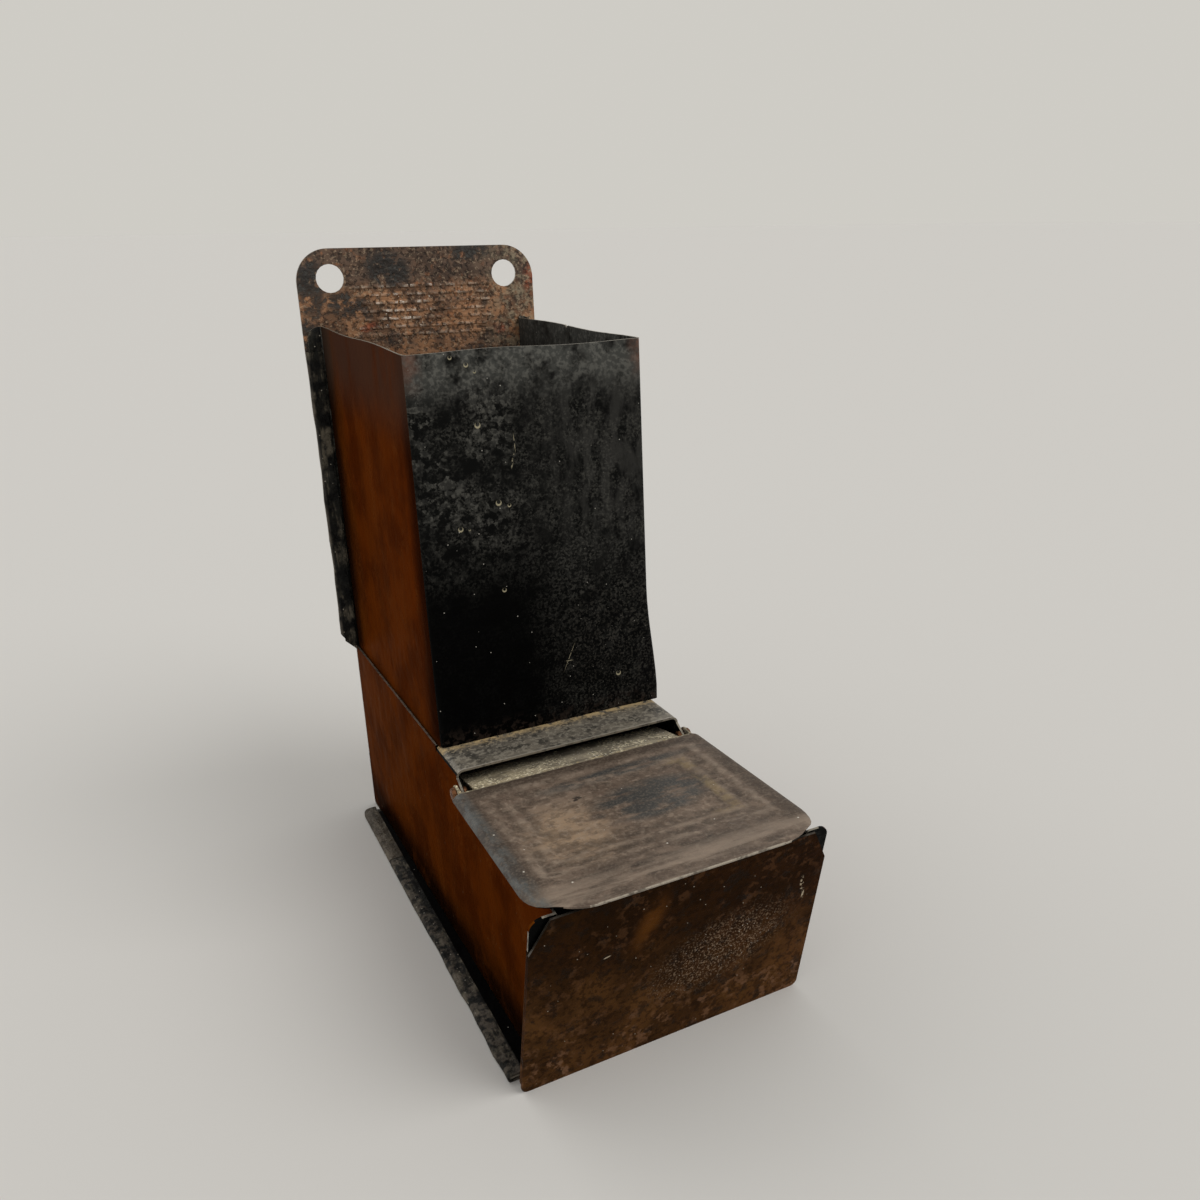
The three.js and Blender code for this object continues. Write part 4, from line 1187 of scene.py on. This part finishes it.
# %% Lid: ears and finishes
PIVOT = (-20.95, 55.5)
EAR_PLACE = 34.6
EAR_RADIUS = 2.3
EAR_RING = 1.15
STRAP_LENGTH = 4.6
ears = []
for side in (-1, 1):
    ear = begin_piece(
        "ear", bpy.ops.mesh.primitive_circle_add, (side * EAR_PLACE, *PIVOT), (0, side * math.pi / 2, 0),
        vertices=28, radius=EAR_RADIUS * MM, fill_type="NGON")
    open_for_edit(ear, "FACE")
    bpy.ops.mesh.select_all(action="SELECT")
    bpy.ops.mesh.inset(thickness=EAR_RING * MM)
    bpy.ops.mesh.delete(type="FACE")
    bpy.ops.mesh.select_mode(type="EDGE")
    pick(ear, "edges", lambda a, b: max(a.y, b.y) < PIVOT[0] - 0.6 and min(a.z, b.z) > PIVOT[1] - 0.5
         and min((a - Vector((a.x, *PIVOT))).length, (b - Vector((b.x, *PIVOT))).length) > 2.2)
    pull(0, -STRAP_LENGTH, 0.2)
    strap_end = (side * EAR_PLACE * MM, -28.0 * MM, 56.7 * MM)
    bpy.ops.transform.resize(value=(1, 0.1, 0.5), center_override=strap_end)
    close_edit()
    bpy.context.view_layer.objects.active = ear
    thicken(ear, len(lid_finishes) - 1, edge=0.1)
    ears.append(ear)
bpy.ops.object.select_all(action="DESELECT")
for part in [*ears, lid]:
    part.select_set(True)
bpy.context.view_layer.objects.active = lid
bpy.ops.object.join()
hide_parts("lid")


def lid_side_of_sheet(at, n):
    # The front edge and the lower side rolls take the fingered steel, whose bright line is partly a painted
    # highlight.
    if at.y < -85.85 or (at.z < 56.25 and at.y < -60 and abs(at.x) > 35):
        return 2
    return 1 if n.z < -0.3 else 0


dress(lid, lid_finishes, lid_side_of_sheet)
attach(lid, "lid")

# %% [markdown]
# Each rivet is turned from copper wire: a domed head outside, a shank through the ear and the tray
# wall, and an end upset inside. A cylinder makes the head. Its inner face is inset and pulled in to
# the shank, and spread again for the upset end, and the outer rim is bevelled to a dome.

# %% Rivets
HEAD_RADIUS = 1.9
HEAD_DEPTH = 1.05
HEAD_PLACE = 35.275
SHANK_INSET = 0.9
SHANK_LENGTH = 2.15
UPSET_PLACE = 32.6


def make_rivet(name, node, side):
    """One rivet on its side of the lid, head outwards."""
    rivet = begin_piece(
        name, bpy.ops.mesh.primitive_cylinder_add, (side * HEAD_PLACE, *PIVOT), (0, side * math.pi / 2, 0),
        vertices=32, radius=HEAD_RADIUS * MM, depth=HEAD_DEPTH * MM, end_fill_type="NGON")
    open_for_edit(rivet, "FACE")
    pick(rivet, "faces", lambda at, n: side * n.x < -0.9)
    bpy.ops.mesh.inset(thickness=SHANK_INSET * MM)
    pull(-side * SHANK_LENGTH, 0, 0)
    pull(0, 0, 0)
    centre = (side * UPSET_PLACE * MM, PIVOT[0] * MM, PIVOT[1] * MM)
    bpy.ops.transform.resize(value=(1, 1.5, 1.5), center_override=centre)
    pull(-side * 0.6, 0, 0)
    pull(-side * 0.4, 0, 0)
    bpy.ops.transform.resize(value=(1, 0.7, 0.7), center_override=centre)
    pick(rivet, "faces", lambda at, n: side * n.x > 0.9 and side * at.x > 35.7)
    bpy.ops.mesh.bevel(offset=0.75 * MM, segments=5, profile=0.5)
    close_edit()
    bpy.ops.object.shade_smooth_by_angle(angle=math.radians(50))
    rivet.data.materials.append(rivet_finish)
    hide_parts(node)
    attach(rivet, "holder")
    print(name, len(rivet.data.polygons), "faces")


make_rivet("left_rivet", "left_hinge_rivet", -1)
make_rivet("right_rivet", "right_hinge_rivet", 1)
